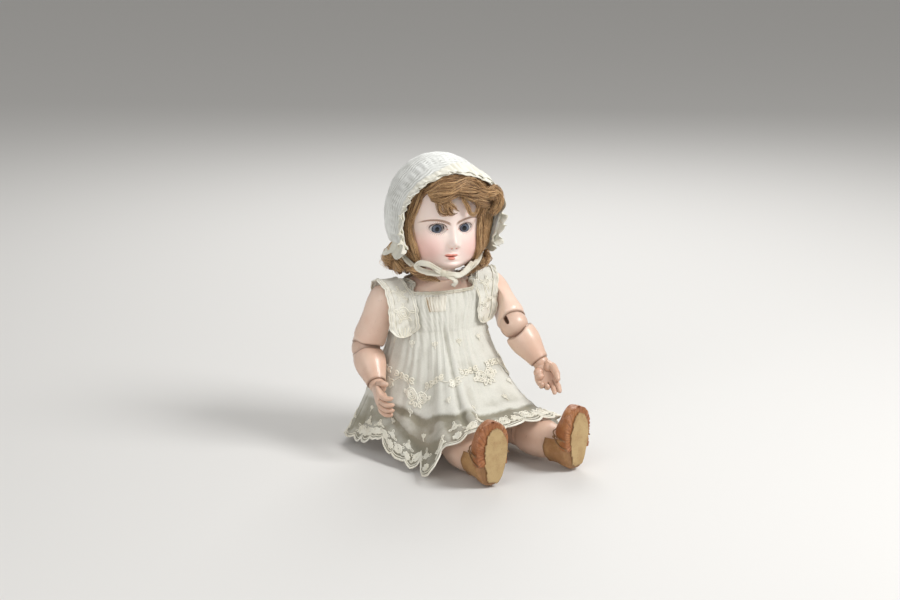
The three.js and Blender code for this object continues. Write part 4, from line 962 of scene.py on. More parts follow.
    def eye(self, side: Side) -> Piece:
        """A glass eye looking a little down and ahead."""
        polar = np.linspace(0.0, math.pi, 49)
        around = ring_angles(64)
        p, a = np.meshgrid(polar, around, indexing="ij")
        swell = self.eye_radius + 0.7 * np.exp(-((p / 0.6) ** 4))
        gaze = places(swell * np.sin(p) * np.cos(a), -swell * np.cos(p), swell * np.sin(p) * np.sin(a))
        centre = self.eye_centre(side)
        flat = gaze + (0.8, 0.0, 0.3)
        flat[..., 0] += np.where(p > math.pi / 2, 40.0, 0.0)
        eye = Form.rows(f"eye_visual_{side.value}", self.axes.out(gaze + centre), True, {"gaze": flat})
        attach(eye, "head")
        return dress(eye, self.finishes.eye, "eye_glass", f"eye_{side.value}")

    def build(self) -> None:
        """Builds the head and eyes."""
        self.shell()
        for side in Side:
            self.eye(side)


@dataclass
class Limb:
    """One lathe-turned limb between two ball cups, with a slanted rim inside its bend."""

    name: str
    axes: Axes
    stations: Sequence[Sequence[float]]
    start: tuple[float, float]
    end: tuple[float, float]
    length: float
    inner: Array
    bend: float = 51.0
    slant_start: bool = False
    slant_end: bool = False
    reach: float = 0.0
    age: tuple[float, float] = (0.0, 0.0)
    sides: int = 72
    rows_along: int = 60
    edge: float = 0.75

    def rim(self, base: float, angle: Array, radius: float, slanted: bool) -> Array:
        """How far from a ball's middle the rim stands at each angle round the limb."""
        if not slanted:
            return np.full_like(angle, base)
        local = np.array([self.inner @ self.axes.x, self.inner @ self.axes.y])
        toward = np.cos(angle - math.atan2(local[1], local[0]))
        slant = radius * toward / math.tan(math.radians(self.bend)) + 0.4
        return softly_over(base - self.reach * ease(0.3, -0.7, toward), slant, 0.7)

    def rings(self) -> tuple[Array, Array]:
        """Returns the limb's rows of places in its own frame, and how worn each is."""
        angle = ring_angles(self.sides)
        first, last = self.stations[0][1], self.stations[-1][1]
        low = self.rim(self.start[0], angle, first, self.slant_start)
        high = self.length - self.rim(self.length - self.end[0], angle, last, self.slant_end)
        rows: list[Array] = []
        worn: list[float] = []

        def ring(along: Array, radius: Array, wear_and_shade: float) -> None:
            """Adds one row of places."""
            rows.append(places(radius * np.cos(angle), radius * np.sin(angle), along))
            worn.append(wear_and_shade)

        def cup(place: float, ball: float, rim: Array, way: float, inward: bool) -> None:
            """Adds the rows of a ball's cup, from its depth to its rim or back."""
            if ball <= 0.0:
                ring(rim, np.zeros_like(angle), 0.3)
                return
            reach = np.clip(np.abs(rim - place), 0.0, ball - 0.1)
            edge = np.arccos(reach / ball)
            for share in (np.linspace(0.0, 1.0, 9) if inward else np.linspace(1.0, 0.0, 9)):
                polar = edge * share
                ring(place + way * ball * np.cos(polar), ball * np.sin(polar), 0.9)

        cup(0.0, self.start[1], low, 1.0, True)
        for k in range(self.rows_along + 1):
            share = k / self.rows_along
            along = low + (high - low) * (share - 0.06 * math.sin(2 * math.pi * share) / math.pi)
            values = through(self.stations, along)
            near = np.minimum(along - low, high - along)
            inward = np.maximum(0.0, self.edge - near)
            rounded = self.edge - np.sqrt(np.maximum(0.0, self.edge**2 - inward**2))
            radius = values[:, 0]
            if values.shape[1] >= 2:
                flat = values[:, 1]
                radius = (radius * flat
                          / np.sqrt((flat * np.cos(angle)) ** 2 + (radius * np.sin(angle)) ** 2))
            ring(along, radius - rounded, float(np.clip(1.0 - near.mean() / 2.2, 0.0, 1.0)))
        cup(self.length, self.end[1], high, -1.0, False)
        grid = np.array(rows)
        wear_and_shade = np.zeros_like(grid)
        wear_and_shade[..., 0] = np.array(worn)[:, None]
        wear_and_shade[..., 1] = np.interp(grid[..., 2], (0.0, self.length), self.age)
        return grid, wear_and_shade

    def make(self) -> Piece:
        """Returns the limb's mesh."""
        grid, wear_and_shade = self.rings()
        piece = Form.rows(self.name, self.axes.out(grid), True, {"wear_and_shade": wear_and_shade})
        Form.crisp()
        return piece


def worn_ball(name: str, centre: Array, radius: float) -> Piece:
    """A joint ball, grimy all over where its neighbours rub it."""
    piece = Form.ball(name, centre, radius, 48)
    Form.mark(piece, "wear_and_shade", np.tile((0.12, 0.3, 0.0), (len(piece.data.vertices), 1)))
    return piece


@dataclass
class Arm:
    """One arm: shoulder ball, upper arm, slotted elbow ball, forearm and hand."""

    finishes: Finishes
    side: Side
    shoulder_x: float = 54.0
    shoulder_z: float = 134.0
    face: float = 3.2
    upper_length: float = 47.5
    lower_length: float = 42.0
    shoulder_ball: float = 10.5
    elbow_ball: float = 12.8
    wrist_ball: float = 7.2
    slot: tuple[float, float, float] = (0.79, -0.59, -0.14)
    gap: float = 0.4
    upper_stations: tuple[tuple[float, ...], ...] = (
        (-14.2, 0.0), (-13.7, 3.6), (-12.0, 8.0), (-8.0, 11.9), (-2.0, 13.8), (6.0, 14.3), (16.0, 13.9),
        (26.0, 14.1), (34.0, 14.7), (38.0, 14.5), (40.2, 13.6))
    lower_stations: tuple[tuple[float, ...], ...] = (
        (8.4, 13.3), (11.0, 14.0), (16.0, 14.1), (22.0, 13.3), (29.0, 11.3), (34.0, 9.9), (38.0, 9.0),
        (40.4, 8.5))

    def __post_init__(self) -> None:
        """Lays out the arm's frames."""
        right = self.side is Side.RIGHT
        upper = (-12.0, 12.0, -44.0) if right else (1.0, -40.0, -26.0)
        lower = (-5.5, -33.5, -25.0) if right else (13.0, -26.0, -30.5)
        hand = (-4.5, -21.0, -26.0) if right else (-2.0, -25.0, -23.0)
        self.inside = np.array([-self.side.sign, 0.0, 0.0])
        self.shoulder = np.array([self.side.sign * self.shoulder_x, 0.0, self.shoulder_z])
        self.elbow = self.shoulder + unit(upper) * self.upper_length
        self.wrist = self.elbow + unit(lower) * self.lower_length
        self.upper_axes = Axes.along(self.shoulder, upper, self.inside)
        self.lower_axes = Axes.along(self.elbow, lower, self.inside)
        self.hand_axes = Axes.along(self.wrist, hand, self.inside)
        natural = 1.0 if right else -1.0
        self.up_bend = natural * unit(lower)
        self.down_bend = -natural * unit(upper)

    def flesh(self, piece: Piece, body: str, *nodes: str) -> Piece:
        """Dresses a piece of the arm and fixes it to its body."""
        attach(piece, f"{body}_{self.side.value}")
        return dress(piece, self.finishes.composition, "composition", *nodes)

    def upper(self) -> Piece:
        """The upper arm, flat where it meets the trunk."""
        left = self.side is Side.LEFT
        ends = (self.upper_stations[-1][0] + (3.1 if left else 0.8), self.elbow_ball + self.gap)
        limb = Limb(f"upper_arm_visual_{self.side.value}", self.upper_axes, self.upper_stations,
                    (-14.2, 0.0), ends, self.upper_length, self.up_bend, bend=74.0 if left else 55.0,
                    slant_end=True, reach=0.0 if left else 6.0, age=(0.0, 0.16), rows_along=72)
        piece = limb.make()
        self.flatten(piece)
        Form.carve(piece, Form.ball("cup", self.shoulder, self.shoulder_ball + self.gap, 48))
        Form.crisp()
        return self.flesh(piece, "upper_arm", f"upper_arm_{self.side.value}")

    def flatten(self, piece: Piece) -> None:
        """Presses the upper arm's inner side flat where it meets the trunk, less so towards the elbow."""
        spots = Form.read(piece.data.vertices, "co")
        out = (spots - world(self.shoulder)) / MM
        along = out @ self.upper_axes.z
        limit = -self.face - 7.0 * ease(20.0, 42.0, along)
        soft = 0.25 + 2.2 * ease(16.0, 34.0, along)
        pressed = softly_over(out[:, 0] * self.side.sign, limit, soft)
        spots[:, 0] = world(self.shoulder)[0] + pressed * self.side.sign * MM
        piece.data.vertices.foreach_set("co", spots.ravel())
        piece.data.update()

    def slotted_elbow(self) -> Piece:
        """The elbow ball with the slot that its elastic runs in."""
        name = self.side.value
        piece = worn_ball(f"elbow_ball_visual_{name}", self.elbow, self.elbow_ball)
        way = self.upper_axes.out(np.array(self.slot)) - self.shoulder
        axes = Axes.along(self.elbow, way, np.cross(way, self.upper_axes.z))
        turn = ring_angles(24)
        outline = places(2.1 * np.cos(turn), 6.0 * np.sign(np.sin(turn)) * np.abs(np.sin(turn)) ** 0.6)
        rows = [np.column_stack([outline * size, np.full(len(turn), self.elbow_ball * far)])
                for size, far in ((0.0, 0.42), (1.0, 0.42), (1.0, 1.5), (0.0, 1.5))]
        Form.carve(piece, Form.rows("slot", axes.out(np.array(rows)), True))
        Form.crisp()
        # Painted shade: the slot's walls darken with their depth, over the ball's even grimy tone.
        far = np.linalg.norm(Form.read(piece.data.vertices, "co") - world(self.elbow), axis=1) / MM
        sunk = ease(self.elbow_ball - 0.05, self.elbow_ball - 2.0, far)
        Form.mark(piece, "wear_and_shade", places(0.12 + 0.9 * sunk, 0.3, 0.0))
        return self.flesh(piece, "elbow", f"elbow_ball_{name}")

    def forearm(self) -> Piece:
        """The forearm, browner towards the wrist."""
        left = self.side is Side.LEFT
        start = (self.lower_stations[0][0], self.elbow_ball + self.gap)
        end = (self.lower_stations[-1][0], self.wrist_ball + self.gap)
        limb = Limb(f"forearm_visual_{self.side.value}", self.lower_axes, self.lower_stations, start, end,
                    self.lower_length, self.down_bend, bend=48.0 if left else 51.0, slant_start=True,
                    reach=2.6 if left else 4.6, age=(0.16, 0.42))
        return self.flesh(limb.make(), "forearm", f"forearm_{self.side.value}")

    def finger(self, points: Sequence[Sequence[float]], radii: Sequence[float]) -> Piece:
        """A tapered finger with a round tip: places across to the thumb, into the palm and along the hand."""
        count = 26
        line = smooth_line(np.asarray(points, float) * (1.0, self.side.sign, 1.0), count)
        share = np.linspace(0.0, 1.0, count)
        size = np.interp(share, np.linspace(0.0, 1.0, len(radii)), radii)
        size = (size * (1.0 + 0.05 * np.cos(share * 19.0))
                * np.sqrt(np.clip((1.0 - share) / 0.09, 0.02, 1.0)))
        return Form.strands("finger", [self.grip.out(line)], 1.0, [size], 4)

    def digits(self) -> list[Piece]:
        """The fingers and thumb: stacked and curled in the right hand, open and half curled in the left."""
        if self.side is Side.RIGHT:
            way = ((-5.0, -0.6), (0.0, -0.5), (4.8, 0.8), (8.6, 3.8), (10.4, 7.8), (10.2, 11.4))
            roots = ((8.2, 15.4, 1.0), (2.8, 17.8, 1.04), (-2.6, 19.8, 0.98), (-7.8, 21.4, 0.84))
            paths = [[(x, curl * long, root + ahead * long) for ahead, curl in way]
                     for x, root, long in roots]
            thumb = ((4.0, 0.8, 3.5), (8.6, 2.4, 7.2), (11.4, 5.2, 10.2), (11.4, 9.0, 13.0))
            radii, thumb_radii = (2.3, 2.5, 2.5, 2.45, 2.3, 2.0), (3.0, 3.2, 2.8, 2.3)
        else:
            paths = [
                [(5.4, 0.0, 14.0), (6.6, 0.6, 21.0), (7.2, 1.6, 27.0), (7.2, 2.6, 32.0), (6.4, 3.6, 36.6)],
                [(2.2, 0.0, 14.0), (2.4, 0.4, 21.5), (2.6, 1.6, 28.0), (2.4, 3.2, 33.0), (1.9, 5.2, 36.4)],
                [(-2.4, 0.0, 14.0), (-2.6, 0.6, 21.0), (-2.4, 3.0, 26.4), (-1.8, 6.6, 28.6),
                 (-1.2, 9.4, 26.4)],
                [(-6.4, 0.0, 12.0), (-7.0, 0.8, 18.8), (-6.6, 3.2, 23.4), (-5.8, 6.4, 25.0),
                 (-5.0, 8.8, 22.6)]]
            thumb = ((5.0, 2.0, 4.0), (8.6, 4.4, 11.0), (9.6, 5.8, 18.0), (9.2, 6.4, 23.0),
                     (8.6, 6.6, 27.2))
            radii, thumb_radii = (2.4, 2.5, 2.45, 2.3, 2.0), (3.4, 3.9, 3.6, 2.9, 2.2)
        return [self.finger(path, radii) for path in paths] + [self.finger(thumb, thumb_radii)]

    def hand(self) -> Piece:
        """The hand and wrist ball: palm, thumb and bent fingers melted into one form, with painted shade in
        the hollows between them.
        """
        right = self.side is Side.RIGHT
        if right:
            self.grip = Axes.along(self.wrist, (-0.256, -0.821, -0.509), (-0.283, -0.427, 0.861))
        else:
            self.grip = Axes.along(self.wrist, self.hand_axes.z, (0.811, -0.392, 0.322))
        thin = 4.9 if right else 4.2
        stations = ((0.0, 6.0, 5.6), (4.0, 6.9, 5.4), (9.0, 9.0, thin), (14.0, 10.2, thin - 0.3),
                    (19.0, 9.9, thin - 0.9), (22.5, 8.8, 2.6))
        palm = Limb("palm", self.grip, stations, (0.0, 0.0), (22.5, 0.0), 22.5, self.inside,
                    sides=36, rows_along=24).make()
        mounds = [Form.ball("mound", self.grip.out(np.array([x, self.side.sign * 2.9, z])), size, 24)
                  for x, z, size in ((5.4, 9.0, 4.5), (-4.9, 10.0, 4.4), (-4.9, 14.0, 3.8))]
        pieces = [palm, *mounds, Form.ball("wrist", self.wrist, self.wrist_ball, 32), *self.digits()]
        piece = Form.join(f"hand_visual_{self.side.value}", pieces)
        Form.fuse(piece, 0.42, 2)
        # Painted shade: darker the deeper each vertex lies in a hollow between the fingers.
        hollow = np.clip(Form.hollows(piece, 8) * 4.6 - 0.05, 0.0, 0.9)
        Form.mark(piece, "wear_and_shade", places(hollow, 0.52, 0.0))
        return self.flesh(piece, "hand", f"hand_{self.side.value}")

    def build(self) -> None:
        """Builds the arm."""
        name = self.side.value
        self.flesh(worn_ball(f"shoulder_ball_visual_{name}", self.shoulder, self.shoulder_ball), "shoulder",
                   f"shoulder_ball_{name}")
        self.upper()
        self.slotted_elbow()
        self.forearm()
        self.hand()


@dataclass
class Leg:
    """One leg: hip ball, thigh, knee ball, lower leg with its foot, and the shoe."""

    finishes: Finishes
    side: Side
    hip_x: float = 25.0
    hip_y: float = -14.0
    hip_z: float = 25.0
    slope: float = -0.049
    thigh_length: float = 62.0
    shin: float = 68.0
    hip_ball: float = 17.0
    knee_ball: float = 14.6
    gap: float = 0.4
    heel: float = 15.0
    toe: float = 38.0
    foot_half: float = 13.8
    leather: float = 1.75
    vamp_from: float = 0.33
    patch_margin: float = 4.2
    patch_aside: float = 1.7
    quarter_height: float = 25.0
    lace: float = 0.55
    thigh_stations: tuple[tuple[float, ...], ...] = (
        (10.9, 18.9), (14.0, 20.5), (22.0, 21.0), (36.0, 19.5), (46.0, 18.2), (49.6, 17.5), (51.2, 16.9))
    shin_stations: tuple[tuple[float, ...], ...] = (
        (10.4, 16.2), (13.0, 17.2), (20.0, 17.7), (30.0, 17.0), (40.0, 15.2), (50.0, 13.5), (58.0, 12.9),
        (66.0, 12.0), (67.6, 11.0))

    def __post_init__(self) -> None:
        """Lays out the leg's frames."""
        splay = math.radians(16.0) if self.side is Side.LEFT else 0.0
        way = (math.sin(splay) * self.side.sign, -math.cos(splay), self.slope)
        self.hip = np.array([self.side.sign * self.hip_x, self.hip_y, self.hip_z])
        self.knee = self.hip + unit(way) * self.thigh_length
        self.thigh_axes = Axes.along(self.hip, way, (0.0, 0.0, 1.0))
        self.shin_axes = Axes.along(self.knee, way, (0.0, 0.0, 1.0))

    def fix(self, piece: Piece, body: str, finish: Material, slot: str, *nodes: str) -> Piece:
        """Dresses a piece of the leg and fixes it to its body."""
        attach(piece, f"{body}_{self.side.value}")
        return dress(piece, finish, slot, *nodes)

    def foot_form(self, proud: float | Array, along: Array, angle: Array) -> Array:
        """Places round the foot in the shin's frame, with X towards the toe.

        Args:
            proud: How far outside the foot.
            along: Shares of the way from heel to toe.
            angle: Angles round it, from the instep.

        Returns:
            A place for each share and angle.
        """
        x = -self.heel - proud + (self.heel + self.toe + 2 * proud) * along
        blunt = np.sqrt(np.maximum(0.0, 1.0 - np.abs(2 * along - 1) ** 4.6))
        waist = 0.9 + 0.1 * np.cos(2 * math.pi * (along - 0.68))
        half = (self.foot_half * waist + proud) * blunt
        high = 9.5 + 10.5 * ease(0.0, 0.55, 0.9 - along) + proud
        lift = np.cos(angle)
        y = half * np.sign(np.sin(angle)) * np.abs(np.sin(angle)) ** 0.75
        up = np.where(lift < 0.0, np.maximum(lift * 2.6, -1.0) * proud,
                      np.abs(lift) ** 0.8 * high * (0.6 + 0.4 * blunt))
        return places(x, y, self.shin - up)

    def vamp(self) -> Piece:
        """The leather upper: gathered under along the sole, open over the instep and scuffed at the toe, with
        painted shade in its puckers and painted highlight on their ridges.
        """
        name = self.side.value
        along = self.vamp_from + (1.0 - self.vamp_from) * np.sin(np.linspace(0.0, math.pi / 2 - 0.004, 106))
        open_half = 1.35 * ease(0.74, 0.44, along) + 0.02
        angle = (open_half[:, None]
                 + (2 * math.pi - 2 * open_half[:, None]) * np.linspace(0.0, 1.0, 149)[None, :])
        share = np.broadcast_to(along[:, None], angle.shape)
        proud = self.leather + 0.9 * ease(self.vamp_from + 0.16, self.vamp_from + 0.04, share)
        grid = self.foot_form(proud.ravel(), share.ravel(), angle.ravel()).reshape(*angle.shape, 3)
        turn = np.arctan2(grid[..., 1], grid[..., 0] - (self.toe - self.heel) / 2)
        under = ease(0.15, -0.6, np.cos(angle))
        ruck = np.abs(np.sin(17.0 * turn + 1.1 * np.sin(5.0 * turn) + self.side.sign)) ** 0.8
        pucker = (0.6 * ruck + 0.2 * np.sin(41.0 * turn + 2.0)) * under * ease(-0.98, -0.75, np.cos(angle))
        dent = (0.35 * np.sin(0.5 * grid[..., 0] + 0.6 * grid[..., 1]) * np.sin(0.37 * grid[..., 1] + 1.0)
                * (1.0 - under))
        grid[..., 2] += 0.7 * pucker * ease(0.2, -0.6, np.cos(angle)) - dent
        spread = 1.0 + 0.05 * (pucker - 0.4 * under)
        grid[..., 1] *= spread
        # Painted shade in the puckers' valleys; the toe's lighter marks are scuffs, the lighter pucker ridges
        # painted highlight.
        crease = np.clip((0.42 - ruck) * 1.9, 0.0, 0.75) * under
        rubbed_and_highlit = ease(0.62, 0.95, share) * ease(-0.9, -0.2, np.cos(angle)) + 0.5 * under * ruck
        tone = places(crease, np.clip(rubbed_and_highlit, 0.0, 1.0), 0.0)
        piece = Form.rows(f"shoe_vamp_visual_{name}", self.shin_axes.out(grid), marks={"tone": tone},
                          outward=False)
        Form.face_from(piece, self.heart)
        Form.thicken(piece, 1.0)
        return self.fix(piece, "lower_leg", self.finishes.vamp, "vamp_leather", f"shoe_vamp_{name}")

    @property
    def heart(self) -> Array:
        """The middle of the foot, which its shoe's sheets face away from."""
        return self.shin_axes.out(np.array([8.0, 0.0, self.shin - 8.0]))

    def outline(self, inset: float, turn: Array) -> Array:
        """The sole's outline, inset, as X and Y at angles about its middle."""
        along = 0.5 + 0.5 * np.cos(turn)
        length = self.heel + self.toe + 2 * self.leather - 2 * inset
        x = -self.heel - self.leather + inset + length * along
        waist = 0.9 + 0.1 * np.cos(2 * math.pi * (along - 0.68))
        half = self.foot_half * waist + self.leather - inset
        y = half * np.sign(np.sin(turn)) * np.abs(np.sin(turn)) ** 0.62
        return places(x, y)

    def sole(self) -> Piece:
        """The sole patch: a thin plate with a torn, uneven edge, set to one side."""
        name = self.side.value
        chance = np.random.default_rng(SEED + (7 if self.side is Side.LEFT else 3))
        turn = ring_angles(240)
        rough = sum(size * np.sin(often * turn + chance.uniform(0.0, 6.3))
                    for often, size in ((3, 0.5), (5, 0.4), (9, 0.35), (14, 0.3), (23, 0.26), (37, 0.2),
                                        (61, 0.12)))
        aside = self.patch_aside + (1.6 if self.side is Side.RIGHT else 0.0)
        inset = (self.patch_margin + aside * np.sin(turn) + 1.6 * np.cos(turn)
                 + rough * ease(-0.9, 0.2, np.sin(turn)))
        edge = np.stack([self.outline(float(r), np.array([t]))[0] for r, t in zip(inset, turn)])
        heart = edge.mean(axis=0)
        low, high = self.shin + self.leather + 0.25, self.shin + self.leather + 1.45
        rows = []
        for share, z in ((0.0, low), (0.5, low), (0.98, low), (1.0, low + 0.35), (1.0, high - 0.4),
                         (0.985, high - 0.05), (0.95, high), (0.8, high), (0.6, high), (0.35, high),
                         (0.0, high)):
            place = heart + (edge - heart) * share
            dish = 0.18 * np.sin(place[:, 0] * 0.33) * np.cos(place[:, 1] * 0.4) if z == high else 0.0
            rows.append(np.column_stack([place, np.full(len(turn), z) + dish]))
        tone = np.zeros((len(rows), len(turn), 3))
        tone[3:6, :, 0] = 0.6
        piece = Form.rows(f"shoe_sole_visual_{name}", self.shin_axes.out(np.array(rows)), True,
                          {"tone": tone})
        Form.crisp(40.0)
        return self.fix(piece, "lower_leg", self.finishes.sole, "sole_leather", f"shoe_sole_{name}")

    def quarter(self) -> Piece:
        """The heel quarter: leather drawn round the heel and ankle, turned under the sole."""
        name = self.side.value
        rim = self.outline(0.0, ring_angles(720))
        around = np.arctan2(rim[:, 1], rim[:, 0]) % (2.0 * math.pi)
        order = np.argsort(around)
        reach = np.linalg.norm(rim, axis=1)
        rows, tone = [], []
        profile = [(-0.25, 8.0), (-0.25, 5.0), (-0.15, 3.0), (0.1, 1.7), (0.7, 0.7), (1.7, 0.15)]
        profile += [(h, 0.11 * max(0.0, h - 9.0)) for h in np.linspace(3.0, self.quarter_height, 26)]
        for height, inset in profile:
            up = max(0.0, height) / self.quarter_height
            start = math.radians(52.0 + 8.0 * up)
            turn = np.linspace(start, 2.0 * math.pi - start, 121)
            far = np.interp(turn, around[order], reach[order], period=2.0 * math.pi) - inset
            ankle = float(through(self.shin_stations, np.array([self.shin - max(0.0, height)]))[0, 0])
            hug = softly_over(far, ankle + 1.5, 0.8) if height > 2.0 else far
            slouch = 0.35 * np.sin(turn * 5.0 + 6.0 * up) * up + 0.2 * np.sin(turn * 11.0 - 9.0 * up) * up
            from_heel = np.abs(turn - math.pi) / math.pi
            sag = 0.35 * np.sin(turn * 3.0 + 1.0) + 4.0 * ease(0.75, 0.35, from_heel - 0.2) - 4.0
            out, top = hug + slouch, height - sag * up * 0.4
            rows.append(places(out * np.cos(turn), out * np.sin(turn), self.shin + self.leather - top))
            # Darker along the top edge as grimy leather, and where it turns under the sole as painted shade;
            # lighter scuffs low down.
            grime_and_shade = 0.55 * float(ease(0.86, 1.0, up)) + (0.35 if height < 0.4 else 0.0)
            tone.append(np.tile((grime_and_shade, 0.35 * (1.0 - up), 0.0), (len(turn), 1)))
        piece = Form.rows(f"shoe_quarter_visual_{name}", self.shin_axes.out(np.array(rows)), False,
                          {"tone": np.array(tone)}, False)
        Form.face_from(piece, self.heart)
        Form.thicken(piece, 0.9)
        return self.fix(piece, "lower_leg", self.finishes.suede, "pale_leather", f"shoe_quarter_{name}")

    def laces(self) -> Piece:
        """The lace: over the instep from side to side, knotted, with its end down the side."""
        name = self.side.value
        over = np.linspace(-1.75, 1.75, 40)
        place = 0.56 - 0.07 * (np.abs(over) / 1.75) ** 2
        cross = self.foot_form(np.full_like(over, self.leather + 1.3), place, over)
        down = np.linspace(1.0, 2.05, 24)
        back = 0.50 - 0.13 * ease(1.0, 1.6, down)
        end = self.foot_form(np.full_like(down, self.leather + 1.4), back, down)
        end[:, 0] += 0.5 * np.sin(down * 9.0)
        lines = [self.shin_axes.out(cross), self.shin_axes.out(end)]
        knot = Form.ball("knot", self.shin_axes.out(end[0]), 1.3, 16)
        piece = Form.join(f"shoe_lace_visual_{name}",
                          [Form.strands("lace", lines, self.lace, None, 2), knot])
        return self.fix(piece, "lower_leg", self.finishes.lace_leather, "pale_leather", f"shoe_lace_{name}")

    def clear(self, points: Array, gap: Array) -> Array:
        """Moves places of cloth out of the leg.

        Args:
            points: The places.
            gap: How far outside the leg each must stay.

        Returns:
            The places, moved straight out from the leg's middle where they were too near.
        """
        moved = points.copy()
        for axes, stations, long in ((self.thigh_axes, self.thigh_stations, self.thigh_length),
                                     (self.shin_axes, self.shin_stations, self.shin)):
            local = moved - axes.origin
            along = local @ axes.z
            aside = local - along[:, None] * axes.z
            far = np.linalg.norm(aside, axis=1) + 1e-6
            short = through(stations, along)[:, 0] + gap - far
            short = np.where((along > -2.0) & (along < long - 4.0), np.maximum(short, 0.0), 0.0)
            moved += aside / far[:, None] * short[:, None]
        return moved

    def build(self) -> None:
        """Builds the leg."""
        name = self.side.value
        flesh = self.finishes.composition
        back = np.array([0.0, 0.0, -1.0])
        self.fix(worn_ball(f"hip_ball_visual_{name}", self.hip, self.hip_ball), "hip", flesh, "ball_wood",
                 f"hip_ball_{name}")
        hip_cup, knee_cup = self.hip_ball + self.gap, self.knee_ball + self.gap
        thigh = Limb(f"thigh_visual_{name}", self.thigh_axes, self.thigh_stations, (10.9, hip_cup),
                     (56.0, knee_cup), self.thigh_length, back, slant_end=True, reach=2.0, age=(0.3, 0.34))
        self.fix(thigh.make(), "thigh", flesh, "composition", f"thigh_{name}")
        self.fix(worn_ball(f"knee_ball_visual_{name}", self.knee, self.knee_ball), "knee", flesh,
                 "ball_wood", f"knee_ball_{name}")
        shin = Limb(f"shin_visual_{name}", self.shin_axes, self.shin_stations, (5.6, knee_cup),
                    (67.6, 0.0), self.shin, back, slant_start=True, reach=2.0, age=(0.34, 0.5))
        calf = shin.make()
        s, a = np.meshgrid(np.linspace(0.0, 1.0, 30), ring_angles(32), indexing="ij")
        local = self.foot_form(0.0, s.ravel(), a.ravel()).reshape(*s.shape, 3)
        foot = Form.rows("foot", self.shin_axes.out(local), True)
        self.fix(Form.join(f"lower_leg_visual_{name}", [calf, foot]), "lower_leg", flesh, "composition",
                 f"lower_leg_{name}")
        self.vamp()
        self.sole()
        self.quarter()
        self.laces()


